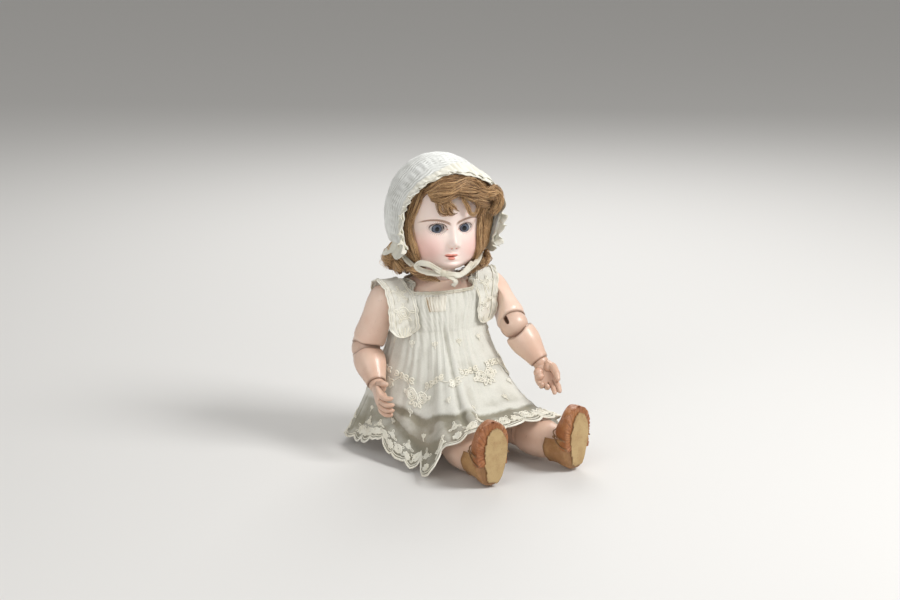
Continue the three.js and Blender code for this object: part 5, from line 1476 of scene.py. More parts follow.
@dataclass
class Gown:
    """The sheer dress over its slip, gathered at the neck and spread round the lap."""

    finishes: Finishes
    neck_z: float = 149.0
    chest_z: float = 104.0
    yoke: tuple[tuple[float, ...], ...] = (
        (104.0, 44.0, 36.0, 33.5), (122.0, 48.5, 32.5, 32.0), (139.0, 50.5, 29.0, 29.0),
        (146.0, 39.0, 26.5, 27.0), (149.0, 30.0, 23.5, 24.0))
    hem: tuple[tuple[float, float, float], ...] = (
        (-8, -116, 38), (22, -104, 42), (46, -98, 42.5), (68, -86, 35), (84, -56, 12), (87, 0, 5),
        (64, 44, 4), (12, 60, 4), (-36, 58, 4), (-76, 38, 4), (-86, 8, 5), (-80, -42, 4), (-66, -96, 6),
        (-50, -118, 31), (-28, -123, 44))
    fold: float = 2.6
    crease: float = -14.5
    scallop_width: float = 10.0
    scallop_start: float = -36.0
    scallop: float = 0.05
    hem_line: tuple[tuple[float, float], ...] = (
        (-180, 1.0), (-112, 0.95), (-96, 0.93), (-84, 0.90), (-77, 0.87), (-71, 0.79), (-66, 0.79),
        (-61.5, 0.83), (-57, 0.89), (-49.5, 0.87), (-42, 0.93), (-38.5, 0.87), (-36.5, 0.82), (-35.5, 1.0),
        (-34, 1.1), (-31, 1.15), (-28.5, 1.12), (-27, 1.04), (-25.5, 0.95), (-24, 0.93), (-15.5, 1.02),
        (-5, 1.0), (5, 1.09), (19.5, 1.16), (30.5, 1.14), (45, 1.08), (60, 1.02), (180, 1.0))
    slip_inset: float = 3.0
    slip_line: tuple[tuple[float, float], ...] = (
        (-180, 0.5), (-100, 0.5), (-64.5, 0.45), (-46.5, 0.41), (-29, 0.45), (-18, 0.59), (-3.5, 0.65),
        (9.5, 0.72), (20, 0.76), (45, 0.72), (70, 0.60), (100, 0.52), (180, 0.5))
    fall_line: tuple[tuple[float, float], ...] = (
        (-74, 0.49), (-64.5, 0.50), (-54, 0.54), (-44.5, 0.575), (-34.5, 0.61), (-26.5, 0.73), (-20, 0.84))
    front_seam: float = 5.0
    front_overlap: float = 1.5
    side_seam: float = 100.0
    heart: tuple[float, float, float] = (0.0, -20.0, 60.0)
    armhole: tuple[float, float, float, float] = (-1.0, 129.0, 19.0, 22.0)
    legs: tuple[Leg, ...] = ()

    def __post_init__(self) -> None:
        """Orders the hem's places by their angle from the front."""
        spots = np.asarray(self.hem, float)
        angle = np.arctan2(spots[:, 0], -spots[:, 1])
        order = np.argsort(angle)
        rows = np.column_stack([angle, spots])[order]
        turn = np.array([2 * math.pi, 0.0, 0.0, 0.0])
        self.hem_rows = np.concatenate([rows - turn, rows, rows + turn])

    @property
    def fronts(self) -> tuple[tuple[Side, float, float], ...]:
        """Each front panel's side, first angle and last angle, in degrees."""
        return ((Side.RIGHT, -self.side_seam, self.front_seam),
                (Side.LEFT, self.front_seam - self.front_overlap, self.side_seam))

    def plain(self, angle: Array, share: Array) -> Array:
        """The cloth without its folds, eased over the line where yoke and skirt meet."""
        near = 0.13 * bell(share, 0.17)
        return ((self.drape(angle, share - near) + 2.0 * self.drape(angle, share)
                 + self.drape(angle, share + near)) / 4.0)

    def drape(self, angle: Array, share: Array) -> Array:
        """The yoke and the skirt as they meet, without folds.

        Args:
            angle: Angles from the front.
            share: From -1 at the neck through 0 at the chest to 1 at the hem.

        Returns:
            A place for each pair.
        """
        z = self.chest_z + (self.neck_z - self.chest_z) * np.clip(-share, 0.0, 1.0)
        x, y = on_section(through(self.yoke, z), angle)
        wrapped = (angle + math.pi) % (2 * math.pi) - math.pi
        hem = through(self.hem_rows, wrapped)
        low = np.clip(share, 0.0, 1.2)
        power = 1.25 + 0.75 * np.maximum(0.0, np.cos(angle)) ** 2
        drop = 1.0 - np.sign(1.0 - low) * np.abs(1.0 - low) ** power
        return places(x + (hem[:, 0] - x) * low, y + (hem[:, 1] - y) * low, z + (hem[:, 2] - z) * drop)

    def outward(self, angle: Array, share: Array) -> Array:
        """The way out of the cloth at each place."""
        step = 0.01
        across = self.plain(angle + step, share) - self.plain(angle - step, share)
        down = self.plain(angle, share + step) - self.plain(angle, share - step)
        way = units(np.cross(across, down))
        out = places(np.sin(angle), -np.cos(angle), 0.3)
        return way * np.sign((way * out).sum(axis=1, keepdims=True))

    def falls(self, angle: Array, share: Array) -> Array:
        """How far the dress stands out where it laps over itself beside the lap and over the slip's hem."""
        degrees = lying(angle)
        past = share - level(self.fall_line, degrees)
        lap = 2.4 * bell(past, np.where(past < 0.0, 0.12, 0.02)) - 0.6 * bell(past - 0.07, 0.05)
        lap = lap * ease(-74.0, -62.0, degrees) * ease(-21.0, -27.0, degrees)
        below = share - level(self.slip_line, degrees)
        tuck = 1.5 * bell(below, np.where(below < 0.0, 0.08, 0.018)) - 0.6 * bell(below - 0.05, 0.03)
        return lap + tuck * ease(-82.0, -66.0, degrees) * ease(48.0, 26.0, degrees)

    def cloth(self, angle: Array, share: Array, inset: float = 0.0) -> Array:
        """The cloth with its folds and gathers, at a depth under its outside and clear of the legs."""
        warp = (angle + 0.16 * np.sin(2 * angle + 0.7) + 0.07 * np.sin(5 * angle + 2.1)
                + 0.025 * np.sin(11 * angle + 4.0))
        behind = 0.42 + 0.58 * (0.5 - 0.5 * np.cos(angle))
        wave = (0.6 * np.sin(9 * warp + 0.6) + 0.45 * np.sin(14 * warp + 2.2 + 0.9 * share)
                + 0.25 * np.sin(22 * warp - 1.5 * share))
        deep = self.fold * ease(-0.3, 1.0, share) * behind * wave
        from_crease = (angle - math.radians(self.crease) - 0.012 * np.sin(share * 7.0)) / 0.035
        tuck = -3.0 * bell(from_crease, 1.0) * ease(-0.35, 0.15, share) * ease(0.98, 0.7, share)
        ridge = 1.5 * bell(from_crease - 2.2, 1.0) * ease(-0.3, 0.2, share) * ease(0.98, 0.7, share)
        small = (0.4 * np.sin(37 * warp + 5.0 * share + 2 * np.sin(6 * angle)) * ease(1.0, -0.1, share)
                 + 0.4 * np.sin(27 * warp - 6 * share) * ease(0.1, 0.9, share))
        fine = 0.10 * np.sin(83 * warp + 9.0 * np.sin(3.0 * share + 4 * angle)) * ease(0.7, -0.2, share)
        gather = 0.34 * np.sin(74 * angle + 1.5 * np.sin(9 * angle)) * ease(-0.3, -0.95, share)
        outside = inset < 2.0
        depth = inset if outside else inset * (0.3 + 0.7 * ease(-0.7, -0.05, share))
        out = (deep + tuck + ridge + small + gather + fine + (self.falls(angle, share) if outside else 0.0)
               - depth)
        points = self.plain(angle, share) + self.outward(angle, share) * out[:, None]
        below = share - level(self.slip_line, lying(angle))
        gap = 1.2 - inset + 2.2 * ease(0.12, 0.03, below) if outside else np.full_like(share, 1.0)
        for leg in self.legs:
            points = leg.clear(points, gap)
        return points

    def finished(self, angle: Array, share: Array, inset: float) -> Array:
        """The cloth as it hangs, with its hem's own line and scallops, clear of the floor."""
        points = self.cloth(angle, self.edge(angle, share), inset)
        points[:, 2] = np.maximum(points[:, 2], 0.8 - inset)
        return points

    def edge(self, angle: Array, share: Array) -> Array:
        """Shares drawn up between the scallops of the hem."""
        degrees = lying(angle)
        long = level(self.hem_line, degrees)
        lobe = np.abs(2.0 * (((degrees - self.scallop_start) / self.scallop_width) % 1.0) - 1.0)
        notch = lobe**2.4
        low_neck = 0.13 * ease(56.0, 36.0, np.abs(degrees + 10.0)) * ease(-0.3, -1.0, share)
        share = share * (1.0 - low_neck)
        return (share * (1.0 + (long - 1.0) * ease(0.45, 1.0, share))
                - self.scallop * notch * ease(0.82, 1.0, share))

    def tones(self, angle: Array, share: Array, points: Array) -> Array:
        """How light the cloth is painted: white over the slip, with painted shade below it and in its
        hollows.

        Args:
            angle: The angle of each place.
            share: How far down each place is.
            points: Rows and columns of places.

        Returns:
            Three values for each place.
        """
        below = share - level(self.slip_line, lying(angle))
        smooth = points.copy()
        for _ in range(36):
            padded = np.pad(smooth, ((1, 1), (1, 1), (0, 0)), mode="edge")
            beside = padded[:-2, 1:-1] + padded[2:, 1:-1] + padded[1:-1, :-2] + padded[1:-1, 2:]
            smooth = 0.5 * smooth + 0.125 * beside
        sunk = ((smooth - points).reshape(-1, 3) * self.outward(angle, share)).sum(axis=1)
        # Painted shade: grey in the folds' hollows, and below the slip where the skirt's shaded inside shows
        # through the net.
        hollow = 0.8 * np.clip(sunk, -0.1, 0.28) * (1.0 - 0.8 * bell(share, 0.14))
        light = 0.86 - 0.46 * ease(-0.01, 0.03, below) - 0.16 * ease(0.1, 0.5, below) - hollow
        return grey(np.clip(light, 0.0, 1.0)).reshape(points.shape)

    def panel(self, name: str, start: float, stop: float, top: float, cols: int, rows: int,
              inset: float = 0.0, outside: bool = True) -> Piece:
        """A stretch of the dress or slip between two angles, in degrees.

        Args:
            name: The piece's name.
            start: Its first angle from the front.
            stop: Its last angle.
            top: The share that it starts at.
            cols: Points across.
            rows: Points down.
            inset: How far it lies under the outside.
            outside: Whether it is the dress, down to its scalloped hem, and not the slip.

        Returns:
            The piece, with its arm openings cut.
        """
        angle, down = np.meshgrid(np.radians(np.linspace(start, stop, cols)), np.linspace(1.0, 0.0, rows),
                                  indexing="xy")
        angle, down = angle.ravel(), down.ravel()
        bottom = 1.0 if outside else level(self.slip_line, lying(angle))
        share = top + (bottom - top) * down
        points = (self.finished if outside else self.cloth)(angle, share, inset).reshape(rows, cols, 3)
        marks = {"tone": self.tones(angle, self.edge(angle, share), points)} if outside else None
        piece = Form.rows(name, points, False, marks, False)
        Form.face_from(piece, self.heart)
        y0, z0, ry, rz = self.armhole
        Form.drop_faces(piece, lambda at: (np.abs(at[:, 0]) > 36.0)
                        & (((at[:, 1] - y0) / ry) ** 2 + ((at[:, 2] - z0) / rz) ** 2 < 1.0))
        return piece

    def bend_with_hip(self, piece: Piece, side: Side) -> None:
        """Bakes a panel's placement into its mesh."""
        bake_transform(piece)

    def build(self) -> None:
        """Builds the dress and slip."""
        for side, start, stop in self.fronts:
            front = self.panel(f"dress_front_{side.value}", start, stop, -1.0, 260, 170,
                               0.5 if side is Side.LEFT else 0.0)
            self.bend_with_hip(front, side)
            dress(front, self.finishes.net, "net", *(["dress"] if side is Side.RIGHT else []))
            slip = self.panel(f"slip_front_{side.value}", start, stop, -0.8, 110, 76,
                              self.slip_inset, False)
            self.bend_with_hip(slip, side)
            dress(slip, self.finishes.linen, "linen", *(["slip"] if side is Side.RIGHT else []))
        back = self.panel("dress_back", self.side_seam, 360.0 - self.side_seam, -1.0, 240, 130)
        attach(back, "torso")
        dress(back, self.finishes.net, "net")
        slip = self.panel("slip_back", self.side_seam, 360.0 - self.side_seam, -0.8, 120, 76,
                          self.slip_inset, False)
        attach(slip, "torso")
        dress(slip, self.finishes.linen, "linen")


@dataclass(frozen=True)
class Lock:
    """One lock of hair in the head's frame: its line, thickness, strands, turns, flatness and waves."""

    line: tuple[tuple[float, float, float], ...]
    thick: tuple[float, ...]
    strands: int = 60
    turns: float = 0.0
    flat: float = 1.0
    wavy: float = 1.2


@dataclass
class Wig:
    """The mohair wig: a cap with a rolled fringe, side locks, sausage curls and loose hairs."""

    finishes: Finishes
    head: Head
    cap: float = 2.6
    strand: float = 0.17
    steps: int = 18
    heart_z: float = 205.0
    core: float = 0.62
    loose_hairs: int = 60

    def __post_init__(self) -> None:
        """Sets the seeded chance that the strands use."""
        self.chance = np.random.default_rng(SEED)

    def place(self, angle: float, z: float, proud: float) -> tuple[float, float, float]:
        """A place outside the head, at an angle in degrees and a height."""
        at = self.head.skin(np.array([z]), np.radians([angle]), np.array([proud]))[0]
        return float(at[0]), float(at[1]), float(at[2])

    def laid(self, *spots: tuple[float, float, float]) -> tuple[tuple[float, float, float], ...]:
        """Places outside the head, each given by its angle, its height and how proud it is."""
        return tuple(self.place(*spot) for spot in spots)

    def hairline(self, angle: Array) -> Array:
        """How low the hair's cap reaches at angles from the front."""
        return np.interp(np.degrees(angle),
                         [-180, -120, -74, -64, -56, -43, -24, 0, 22, 34, 40, 47, 60, 80, 120, 180],
                         [166, 168, 172, 188, 214, 229, 240, 242, 238, 226, 206, 190, 174, 170, 168, 166])

    def cap_form(self) -> Piece:
        """The wig's cap under its locks, dark with painted shade."""
        angles = np.linspace(-math.pi, math.pi, 97)[:-1]
        low = self.hairline(angles)
        rows = []
        for share in np.linspace(0.0, 1.0, 40):
            z = low + (self.head.crown_z - low) * share
            rise = 0.15 + 0.85 * ease(0.0, 0.14, share)
            proud = self.cap * rise + 0.3 * np.sin(angles * 24 + share * 9)
            rows.append(self.head.skin(np.minimum(z, self.head.crown_z), angles, proud + np.zeros_like(z)))
        grid = np.array(rows)
        grid[-1] = np.array([0.0, 0.0, self.head.crown_z + self.cap])
        # Painted shade: the cap's hair gets a dark tone for the shade under the locks.
        piece = Form.rows("wig_cap", self.head.axes.out(grid), True, {"tone": np.full(grid.shape, 0.2)})
        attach(piece, "head")
        return dress(piece, self.finishes.mohair, "mohair", "wig")

    def wander(self, lock: Lock) -> Array:
        """A lock's line with waves of its own, in the head's frame."""
        line = smooth_line(lock.line, self.steps)
        ahead = np.gradient(line, axis=0)
        across = units(np.cross(ahead, line - (0.0, 0.0, self.heart_z)))
        share = np.linspace(0.0, 1.0, self.steps)
        often, start = self.chance.uniform(9.0, 17.0), self.chance.uniform(0.0, 6.3)
        swing = lock.wavy * np.sin(share * often + start) * ease(0.0, 0.2, share)
        return line + across * swing[:, None]

    def girth(self, lock: Lock) -> Array:
        """How thick a lock is at each step along it."""
        return np.interp(np.linspace(0.0, 1.0, self.steps), np.linspace(0.0, 1.0, len(lock.thick)),
                         lock.thick)

    def comb(self, lock: Lock, line: Array) -> tuple[list[Array], list[Array]]:
        """Strands gathered round a lock's line.

        Args:
            lock: The lock.
            line: Its line in the head's frame.

        Returns:
            The strands' lines in the head's frame and their tapers.
        """
        share = np.linspace(0.0, 1.0, self.steps)
        thick = self.girth(lock)
        ahead = units(np.gradient(line, axis=0))
        away = line - (0.0, 0.0, self.heart_z)
        one = units(np.cross(ahead, away))
        two = np.cross(one, ahead) * lock.flat
        lines, tapers = [], []
        for _ in range(lock.strands):
            turn = self.chance.uniform(0.0, 2.0 * math.pi)
            out = self.chance.uniform(0.45, 1.0) ** 0.6
            stray = 1.0 + 0.9 * self.chance.uniform(0.0, 1.0) ** 4
            spin = turn + 2.0 * math.pi * lock.turns * share + 0.5 * self.chance.normal() * share
            often, amount = self.chance.uniform(8.0, 19.0), self.chance.uniform(0.4, 1.3)
            wave = amount * np.sin(share * often + turn) * np.minimum(1.0, thick / 2.0)
            spin = spin + 0.35 * np.sin(share * often * 0.8 + 2.0 * turn)
            reach = (thick * out * (1.0 + (stray - 1.0) * share) + wave)[:, None]
            short = self.chance.uniform(0.82, 1.0)
            slide = np.interp(share * short, share, np.arange(self.steps))
            whole = line + np.cos(spin)[:, None] * one * reach + np.sin(spin)[:, None] * two * reach
            low = np.clip(slide.astype(int), 0, self.steps - 2)
            lines.append(whole[low] + (whole[low + 1] - whole[low]) * (slide - low)[:, None])
            tapers.append(np.interp(share, [0.0, 0.08, 0.75, 1.0], [0.8, 1.0, 1.0, 0.2])
                          * self.chance.uniform(0.7, 1.15))
        return lines, tapers

    def bundle(self, name: str, locks: Sequence[Lock]) -> Piece:
        """A piece made of several locks, each round a soft dark core of painted shade."""
        lines: list[Array] = []
        tapers: list[Array] = []
        tones: list[float] = []
        cores: list[Array] = []
        core_tapers: list[Array] = []
        for lock in locks:
            line = self.wander(lock)
            more, thin = self.comb(lock, line)
            lines += more
            tapers += thin
            shade = self.chance.normal(0.0, 0.16)
            tones += [float(np.clip(self.chance.normal(0.57 + shade, 0.25), 0.05, 1.0)) for _ in more]
            cores.append(self.head.axes.out(line))
            core_tapers.append(np.maximum(0.05, self.girth(lock) * self.core * min(1.0, lock.flat + 0.15)))
        placed = [self.head.axes.out(line) for line in lines]
        hair = Form.strands("hair", placed, self.strand, tapers, 0, tones)
        # Painted shade: the dark core fills each lock where its inside falls in shade.
        core = Form.strands("core", cores, 1.0, core_tapers, 2, [0.12] * len(cores))
        piece = Form.join(name, [hair, core])
        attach(piece, "head")
        return dress(piece, self.finishes.mohair, "mohair")

    def fringe(self) -> list[Lock]:
        """The fringe rolled across from the doll's right, with its curls on the forehead."""
        locks = []
        for k, share in enumerate(np.linspace(0.0, 1.0, 9)):
            ripple, top = math.sin(k * 2.3), 247.0 - 16.5 * share
            ahead = -31.0 - 13.5 * math.sin(min(1.0, share * 1.12) * math.pi * 0.62)
            line = ((-25.0 + 5.0 * share + ripple, ahead + 8.0, top - 11.0 + 8.5 * share),
                    (-15.0, ahead + 1.0, top - 2.0), (2 * ripple, ahead, top + 0.5),
                    (16.0, ahead + 1.5, top - 2.5 + ripple), (29.0, ahead + 7.5, top - 9.0 + share),
                    (39.0 - 1.5 * share, ahead + 16.0, top - 19.0 + 6 * share + ripple),
                    (42.0, ahead + 23.0, top - 29.0 + 11.0 * share))
            locks.append(Lock(line, (2.0, 2.9, 3.3, 3.4, 3.6, 3.3, 1.2), 64, 0.25, 1.0, 2.2))
        for k in range(3):
            line = ((10.0, -37.0 - k, 243.0 - 2 * k), (22.0, -35.5 - k, 240.0 - 2 * k),
                    (31.0, -32.0 - k, 235.5 - 2.5 * k), (37.5, -28.5 - k, 228.5 - 3 * k),
                    (41.0, -26.0, 220.5 - 2 * k))
            locks.append(Lock(line, (1.4, 2.4, 2.6, 2.4, 1.0), 50, 0.25, 1.0, 1.2))
        for x, z, out in ((-19.0, 0.0, 0.0), (-15.5, 1.4, 0.6), (-12.0, 2.6, 0.8), (-8.6, 4.2, 0.4)):
            line = ((x + 1.5, -34.0, 240.0 + z), (x, -40.4 - out, 230.5 + z),
                    (x + 2.6, -42.0 - out, 221.5 + z * 0.8), (x + 8.0, -42.8 - out, 215.0 + z * 0.7),
                    (x + 14.5 - z * 0.9, -42.9 - out, 213.6 + z * 0.9))
            locks.append(Lock(line, (1.7, 2.2, 2.2, 1.9, 0.5), 44, 0.1, 0.7))
        line = ((9.0, -36.0, 237.0), (8.0, -41.6, 229.0), (8.8, -42.6, 221.0), (12.6, -42.6, 215.0),
                (18.4, -41.4, 213.8), (22.0, -40.2, 218.0), (20.4, -41.0, 223.0))
        locks.append(Lock(line, (1.6, 1.7, 1.6, 1.5, 1.3, 1.1, 0.4), 44, 0.3))
        for x, drop in ((27.0, 212.0), (29.5, 216.0)):
            line = ((x - 4, -36.0, 234.0), (x, -35.6, 226.0), (x + 1.5, -33.5, 217.0),
                    (x - 1.0, -33.6, drop - 4), (x - 3.5, -34.8, drop - 5))
            locks.append(Lock(line, (2.0, 2.6, 2.4, 1.8, 0.6), 44, 0.3))
        return locks

    def sides(self) -> list[Lock]:
        """The locks down both cheeks, fuller at the doll's left."""
        locks = []
        for k in range(5):
            lean, ripple = k * 3.6, 1.6 * math.sin(k * 2.1)
            line = self.laid((-40 - lean, 239 - 2 * k, 2.0), (-50 - lean, 224 + ripple, 2.2),
                             (-57 - lean, 206, 2.4), (-56 - lean - ripple, 190, 2.4),
                             (-54 - lean + ripple, 176, 3.2), (-57 - 2 * lean, 164 - k, 3.4))
            locks.append(Lock(line, (1.2, 2.0, 2.2, 2.4, 2.8, 1.0), 52, 0.2))
        for k in range(3):
            line = self.laid((-34 - 4 * k, 240 - 2 * k, 1.6), (-45 - 3 * k, 231 - 3 * k, 1.8),
                             (-52 - 2 * k, 221 - 4 * k, 1.6), (-56 - k, 211 - 5 * k, 1.4))
            locks.append(Lock(line, (0.9, 1.3, 1.1, 0.4), 30, 0.1, 0.6))
        for k, (rise, out) in enumerate(((-1.0, -3.8), (-4.0, -3.4), (-7.0, -4.2), (-3.0, -6.5))):
            line = ((28.0, -36.0, 232.0 + rise * 0.4), (40.0 + out, -36.5 + 0.6 * k, 235.0 + rise),
                    (49.0 + out, -33.5, 228.5 + rise), (47.5 + out, -33.0, 220.5 + rise),
                    (41.0 + out, -34.5, 215.5 + rise), (37.5, -35.5, 218.5 + rise))
            locks.append(Lock(line, (1.8, 3.0, 3.0, 2.6, 2.0, 0.6), 60, 0.5, 1.0, 1.6))
        for k in range(8):
            lean, full, wave = k * 4.2, 1.0 + 0.72 * k, 3.2 * math.sin(k * 2.0)
            line = self.laid((33 + lean, 238 - 2 * k, 3.2),
                             (40 + lean + 0.4 * wave, 224 + wave, 3.4 + full),
                             (41 + lean, 210 - wave, 2.6 + full * 0.85),
                             (41 + lean - wave * 0.6, 196 + wave, 2.4 + full * 0.6),
                             (42 + lean, 182, 2.8 + full * 0.3), (45 + lean, 170 - wave, 2.4),
                             (54 + 1.6 * lean, 162, 3.0))
            locks.append(Lock(line, (1.6, 3.0, 3.0, 2.7, 2.5, 2.1, 0.8), 58, 0.5, 1.0, 2.0))
        return locks

    def curls(self) -> list[Lock]:
        """Sausage curls below the bonnet, and hair at the nape."""
        locks = []
        for angle, z, drop, size in ((-97, 177, 17, 7.6), (-78, 172, 14, 6.4), (-116, 172, 16, 6.6),
                                     (-133, 166, 16, 5.8), (-149, 165, 15, 5.6), (-165, 166, 16, 5.8),
                                     (180, 165, 15, 5.6), (165, 166, 16, 5.8), (149, 165, 15, 5.6),
                                     (133, 167, 16, 5.8), (116, 170, 16, 6.2), (98, 173, 15, 6.4),
                                     (74, 168, 11, 5.0)):
            x, y, top = self.place(angle, z, 5.0 if -120 < angle < 80 else 2.0)
            out = math.radians(angle)
            way = (4.5 * math.sin(out), -4.5 * math.cos(out))
            falls = ((0.0, 6.0), (0.5, 0.0), (1.0, -drop * 0.55), (0.8, -drop))
            line = tuple((x + way[0] * far, y + way[1] * far, top + up) for far, up in falls)
            thick = (2.2, size * 0.8, size * 0.9, size * 0.4)
            locks.append(Lock(line, thick, 110 if -110 < angle < -70 else 60, 1.5))
        locks.append(Lock(((36.0, -8.0, 170.0), (28.0, -16.0, 162.0), (18.0, -20.0, 158.0),
                           (8.0, -22.0, 157.0)), (2.6, 3.6, 3.4, 1.6), 56, 0.8))
        for x, z in ((33.0, 167.0), (28.0, 164.5), (22.0, 162.5), (16.0, 161.0)):
            locks.append(Lock(((x + 5, -18.0, z + 7), (x + 3, -27.0, z + 2), (x - 1, -32.0, z - 1),
                               (x - 7, -34.0, z - 2.5)), (2.4, 3.0, 2.6, 1.0), 56, 0.8))
        for x, z in ((-34.0, 163.0), (-27.0, 160.0), (-20.0, 157.5)):
            locks.append(Lock(((x - 4, -8.0, z + 8), (x - 2, -20.0, z + 2), (x + 2, -28.0, z - 1),
                               (x + 9, -31.5, z - 3.5)), (2.6, 3.4, 3.0, 1.2), 60, 0.8))
        return locks

    def loose(self) -> Piece:
        """Single hairs that have sprung free, clear of the face."""
        lines = []
        for _ in range(self.loose_hairs):
            stretches = ((52, 80), (-110, -78), (56, 76), (-30, 34))
            angle = self.chance.choice([self.chance.uniform(*stretch) for stretch in stretches])
            heights = (240, 248) if abs(angle) < 42 else (168, 236 if angle > 0 else 178)
            z = self.chance.uniform(*heights)
            x, y, z = self.place(angle, z, 5.0)
            out = math.radians(angle)
            size, start = self.chance.uniform(1.5, 5.5), self.chance.uniform(0, 2 * math.pi)
            t = np.linspace(0.0, self.chance.uniform(2.4, 4.8), 16)
            spring, sway = size * np.sin(t), size * (np.cos(t + start) - math.cos(start))
            lines.append(self.head.axes.out(places(
                x + math.sin(out) * spring + math.cos(out) * sway * 0.5,
                y - math.cos(out) * spring * 0.7 + math.sin(out) * sway * 0.8,
                z + size * 0.9 * (np.sin(t + start) - math.sin(start)))))
        piece = Form.strands("wig_loose_hairs", lines, 0.1, None, 0, [0.5] * len(lines))
        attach(piece, "head")
        return dress(piece, self.finishes.mohair, "mohair")

    def build(self) -> None:
        """Builds the wig."""
        self.cap_form()
        self.bundle("wig_fringe", self.fringe())
        self.bundle("wig_sides", self.sides())
        self.bundle("wig_curls", self.curls())
        self.loose()


@dataclass
class Bonnet:
    """The crinkled cotton bonnet: crown, folded brim, frill and tape tie."""

    finishes: Finishes
    head: Head
    middle_y: float = 4.0
    middle_z: float = 205.0
    half: float = 45.6
    high: float = 55.4
    front: float = 65.0
    back: float = 46.0
    front_y: float = -27.0
    overhang: float = 8.5
    low_z: float = 184.0
    side_turn: float = 116.0
    puff_turn: float = 56.0
    puff: float = 6.5
    rows_of_crinkle: int = 36
    frill: float = 8.2
    ruffles: int = 38
    knot: tuple[float, float, float] = (-11.3, -37.9, 162.4)

    def surface(self, along: Array, turn: Array, proud: Array) -> Array:
        """Places on the bonnet in the head's frame.

        Args:
            along: Shares of the way from the front edge to the middle of the back.
            turn: Angles about the line from front to back, from the top.
            proud: How far outside the plain form.

        Returns:
            A place for each.
        """
        edge_y = self.front_y - self.overhang * ease(math.radians(96.0), math.radians(24.0), np.abs(turn))
        start = np.arcsin((edge_y - self.middle_y) / self.front)
        swing = start + (math.pi / 2 - start) * along
        reach = np.where(swing < 0.0, self.front, self.back)
        y = self.middle_y + (reach + proud) * np.sin(swing)
        narrow = np.abs(np.cos(swing))
        ring = np.where(swing < 0.0, narrow**0.12, narrow**0.92)
        swell = self.puff * bell(turn - math.radians(self.puff_turn), 0.5) * bell(along, 0.42)
        x = (self.half + proud + swell) * ring * np.sin(turn)
        z = self.middle_z + (self.high + proud + 0.5 * swell) * narrow**0.96 * np.cos(turn)
        return places(x, y, np.maximum(z, self.low_z - 0.1 * (self.low_z - z)))

    def span(self, along: Array) -> Array:
        """How far round the bonnet reaches at shares from its front to its back."""
        return np.radians(self.side_turn + (180.0 - self.side_turn) * ease(0.2, 0.7, along))

    def crown(self) -> Piece:
        """The crown: rows of crinkle along the brim, drawn in behind it."""
        along, across = np.meshgrid(np.linspace(0.0, 1.0, 252), np.linspace(-1.0, 1.0, 124), indexing="ij")
        a, turn = along.ravel(), (across * self.span(along)).ravel()
        waver = (0.6 * np.sin(turn * 3.1 + 2.0) + 0.5 * np.sin(turn * 7.7 + a * 9.0)
                 + 0.4 * np.sin(turn * 17.0 - a * 23.0) + 0.3 * np.sin(turn * 31.0 + a * 41.0))
        uneven = (0.55 + 0.28 * np.sin(turn * 9.0 + a * 31.0 + 2.0 * np.sin(turn * 4.0))
                  + 0.22 * np.sin(turn * 23.0 - a * 17.0))
        row = (np.sin(a * 2 * math.pi * self.rows_of_crinkle + waver * 2.6) * uneven
               * (1.0 - 0.8 * ease(0.66, 0.92, a)))
        crinkle = 0.5 * row
        billow = (0.8 * np.sin(turn * 4.0 + 1.0) * np.sin(a * 7.0)
                  + 0.5 * np.sin(turn * 7.0 - 2.0) * np.sin(a * 5.0 + 1.0))
        gather = 0.4 * np.sin(turn * 52.0 + 2.0 * np.sin(turn * 5.0)) * bell(a - 0.17, 0.05)
        pole = np.sin(turn * 34.0) * 0.5 * ease(0.75, 0.97, a)
        meet = 1.0 - ease(0.93, 1.0, np.abs(across.ravel())) * ease(0.55, 0.7, a)
        local = self.surface(a, turn, (crinkle + billow + gather + pole) * meet).reshape(*along.shape, 3)
        local[-1] = local[-1].mean(axis=0)
        # Painted light and shade: lighter on the crinkles' and gathers' ridges, darker in their valleys.
        tone = grey((0.68 + 0.34 * row + 0.3 * gather).reshape(along.shape))
        piece = Form.rows("bonnet_crown_visual", self.head.axes.out(local), False, {"tone": tone}, False)
        Form.weld(piece)
        Form.thicken(piece, 0.6)
        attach(piece, "head")
        return dress(piece, self.finishes.crinkle, "cotton", "bonnet_crown")

    def brim(self) -> Piece:
        """The folded band along the front edge, soft and a little crushed."""
        turn = np.linspace(-1.0, 1.0, 260) * math.radians(self.side_turn)
        crush = 0.6 * np.sin(turn * 5.0 + 0.6) + 0.5 * np.sin(turn * 11.0 + 2.0) + 0.3 * np.sin(turn * 19.0)
        rows, tones = [], []
        wide = 0.05 + 0.085 * bell(turn - 0.6, 0.62) + 0.008 * np.sin(turn * 6.0)
        for share, lift in ((1.0, -1.5), (0.97, 0.3), (0.88, 1.2), (0.6, 1.35), (0.4, 1.25), (0.2, 1.4),
                            (0.0, 1.4), (-0.16, 0.9), (-0.2, 0.3), (-0.14, -0.5), (0.08, -0.9)):
            wobble = (0.34 * np.sin(turn * 37.0 + 3 * np.sin(turn * 4) + share * 5.0)
                      + 0.2 * np.sin(turn * 61.0 + share * 3.0))
            row = self.surface(share * wide, turn, lift + wobble + crush * (0.9 if share < 0.3 else 0.3))
            row[:, 1] += ((1.1 * crush + 0.5 * np.sin(turn * 23.0 + 1.0))
                          * float(ease(0.9, 0.0, np.array(share))))
            rows.append(row)
            # Painted light and shade: lighter where the band's wobble stands out, darker where it sinks.
            tones.append(grey(0.72 + 0.5 * wobble + 0.08 * crush))
        piece = Form.rows("bonnet_brim", self.head.axes.out(np.array(rows)), False,
                          {"tone": np.array(tones)}, False)
        Form.face_from(piece, self.head.axes.out(np.array([0.0, 0.0, self.middle_z])))
        Form.thicken(piece, 0.5)
        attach(piece, "head")
        return dress(piece, self.finishes.brim, "cotton")

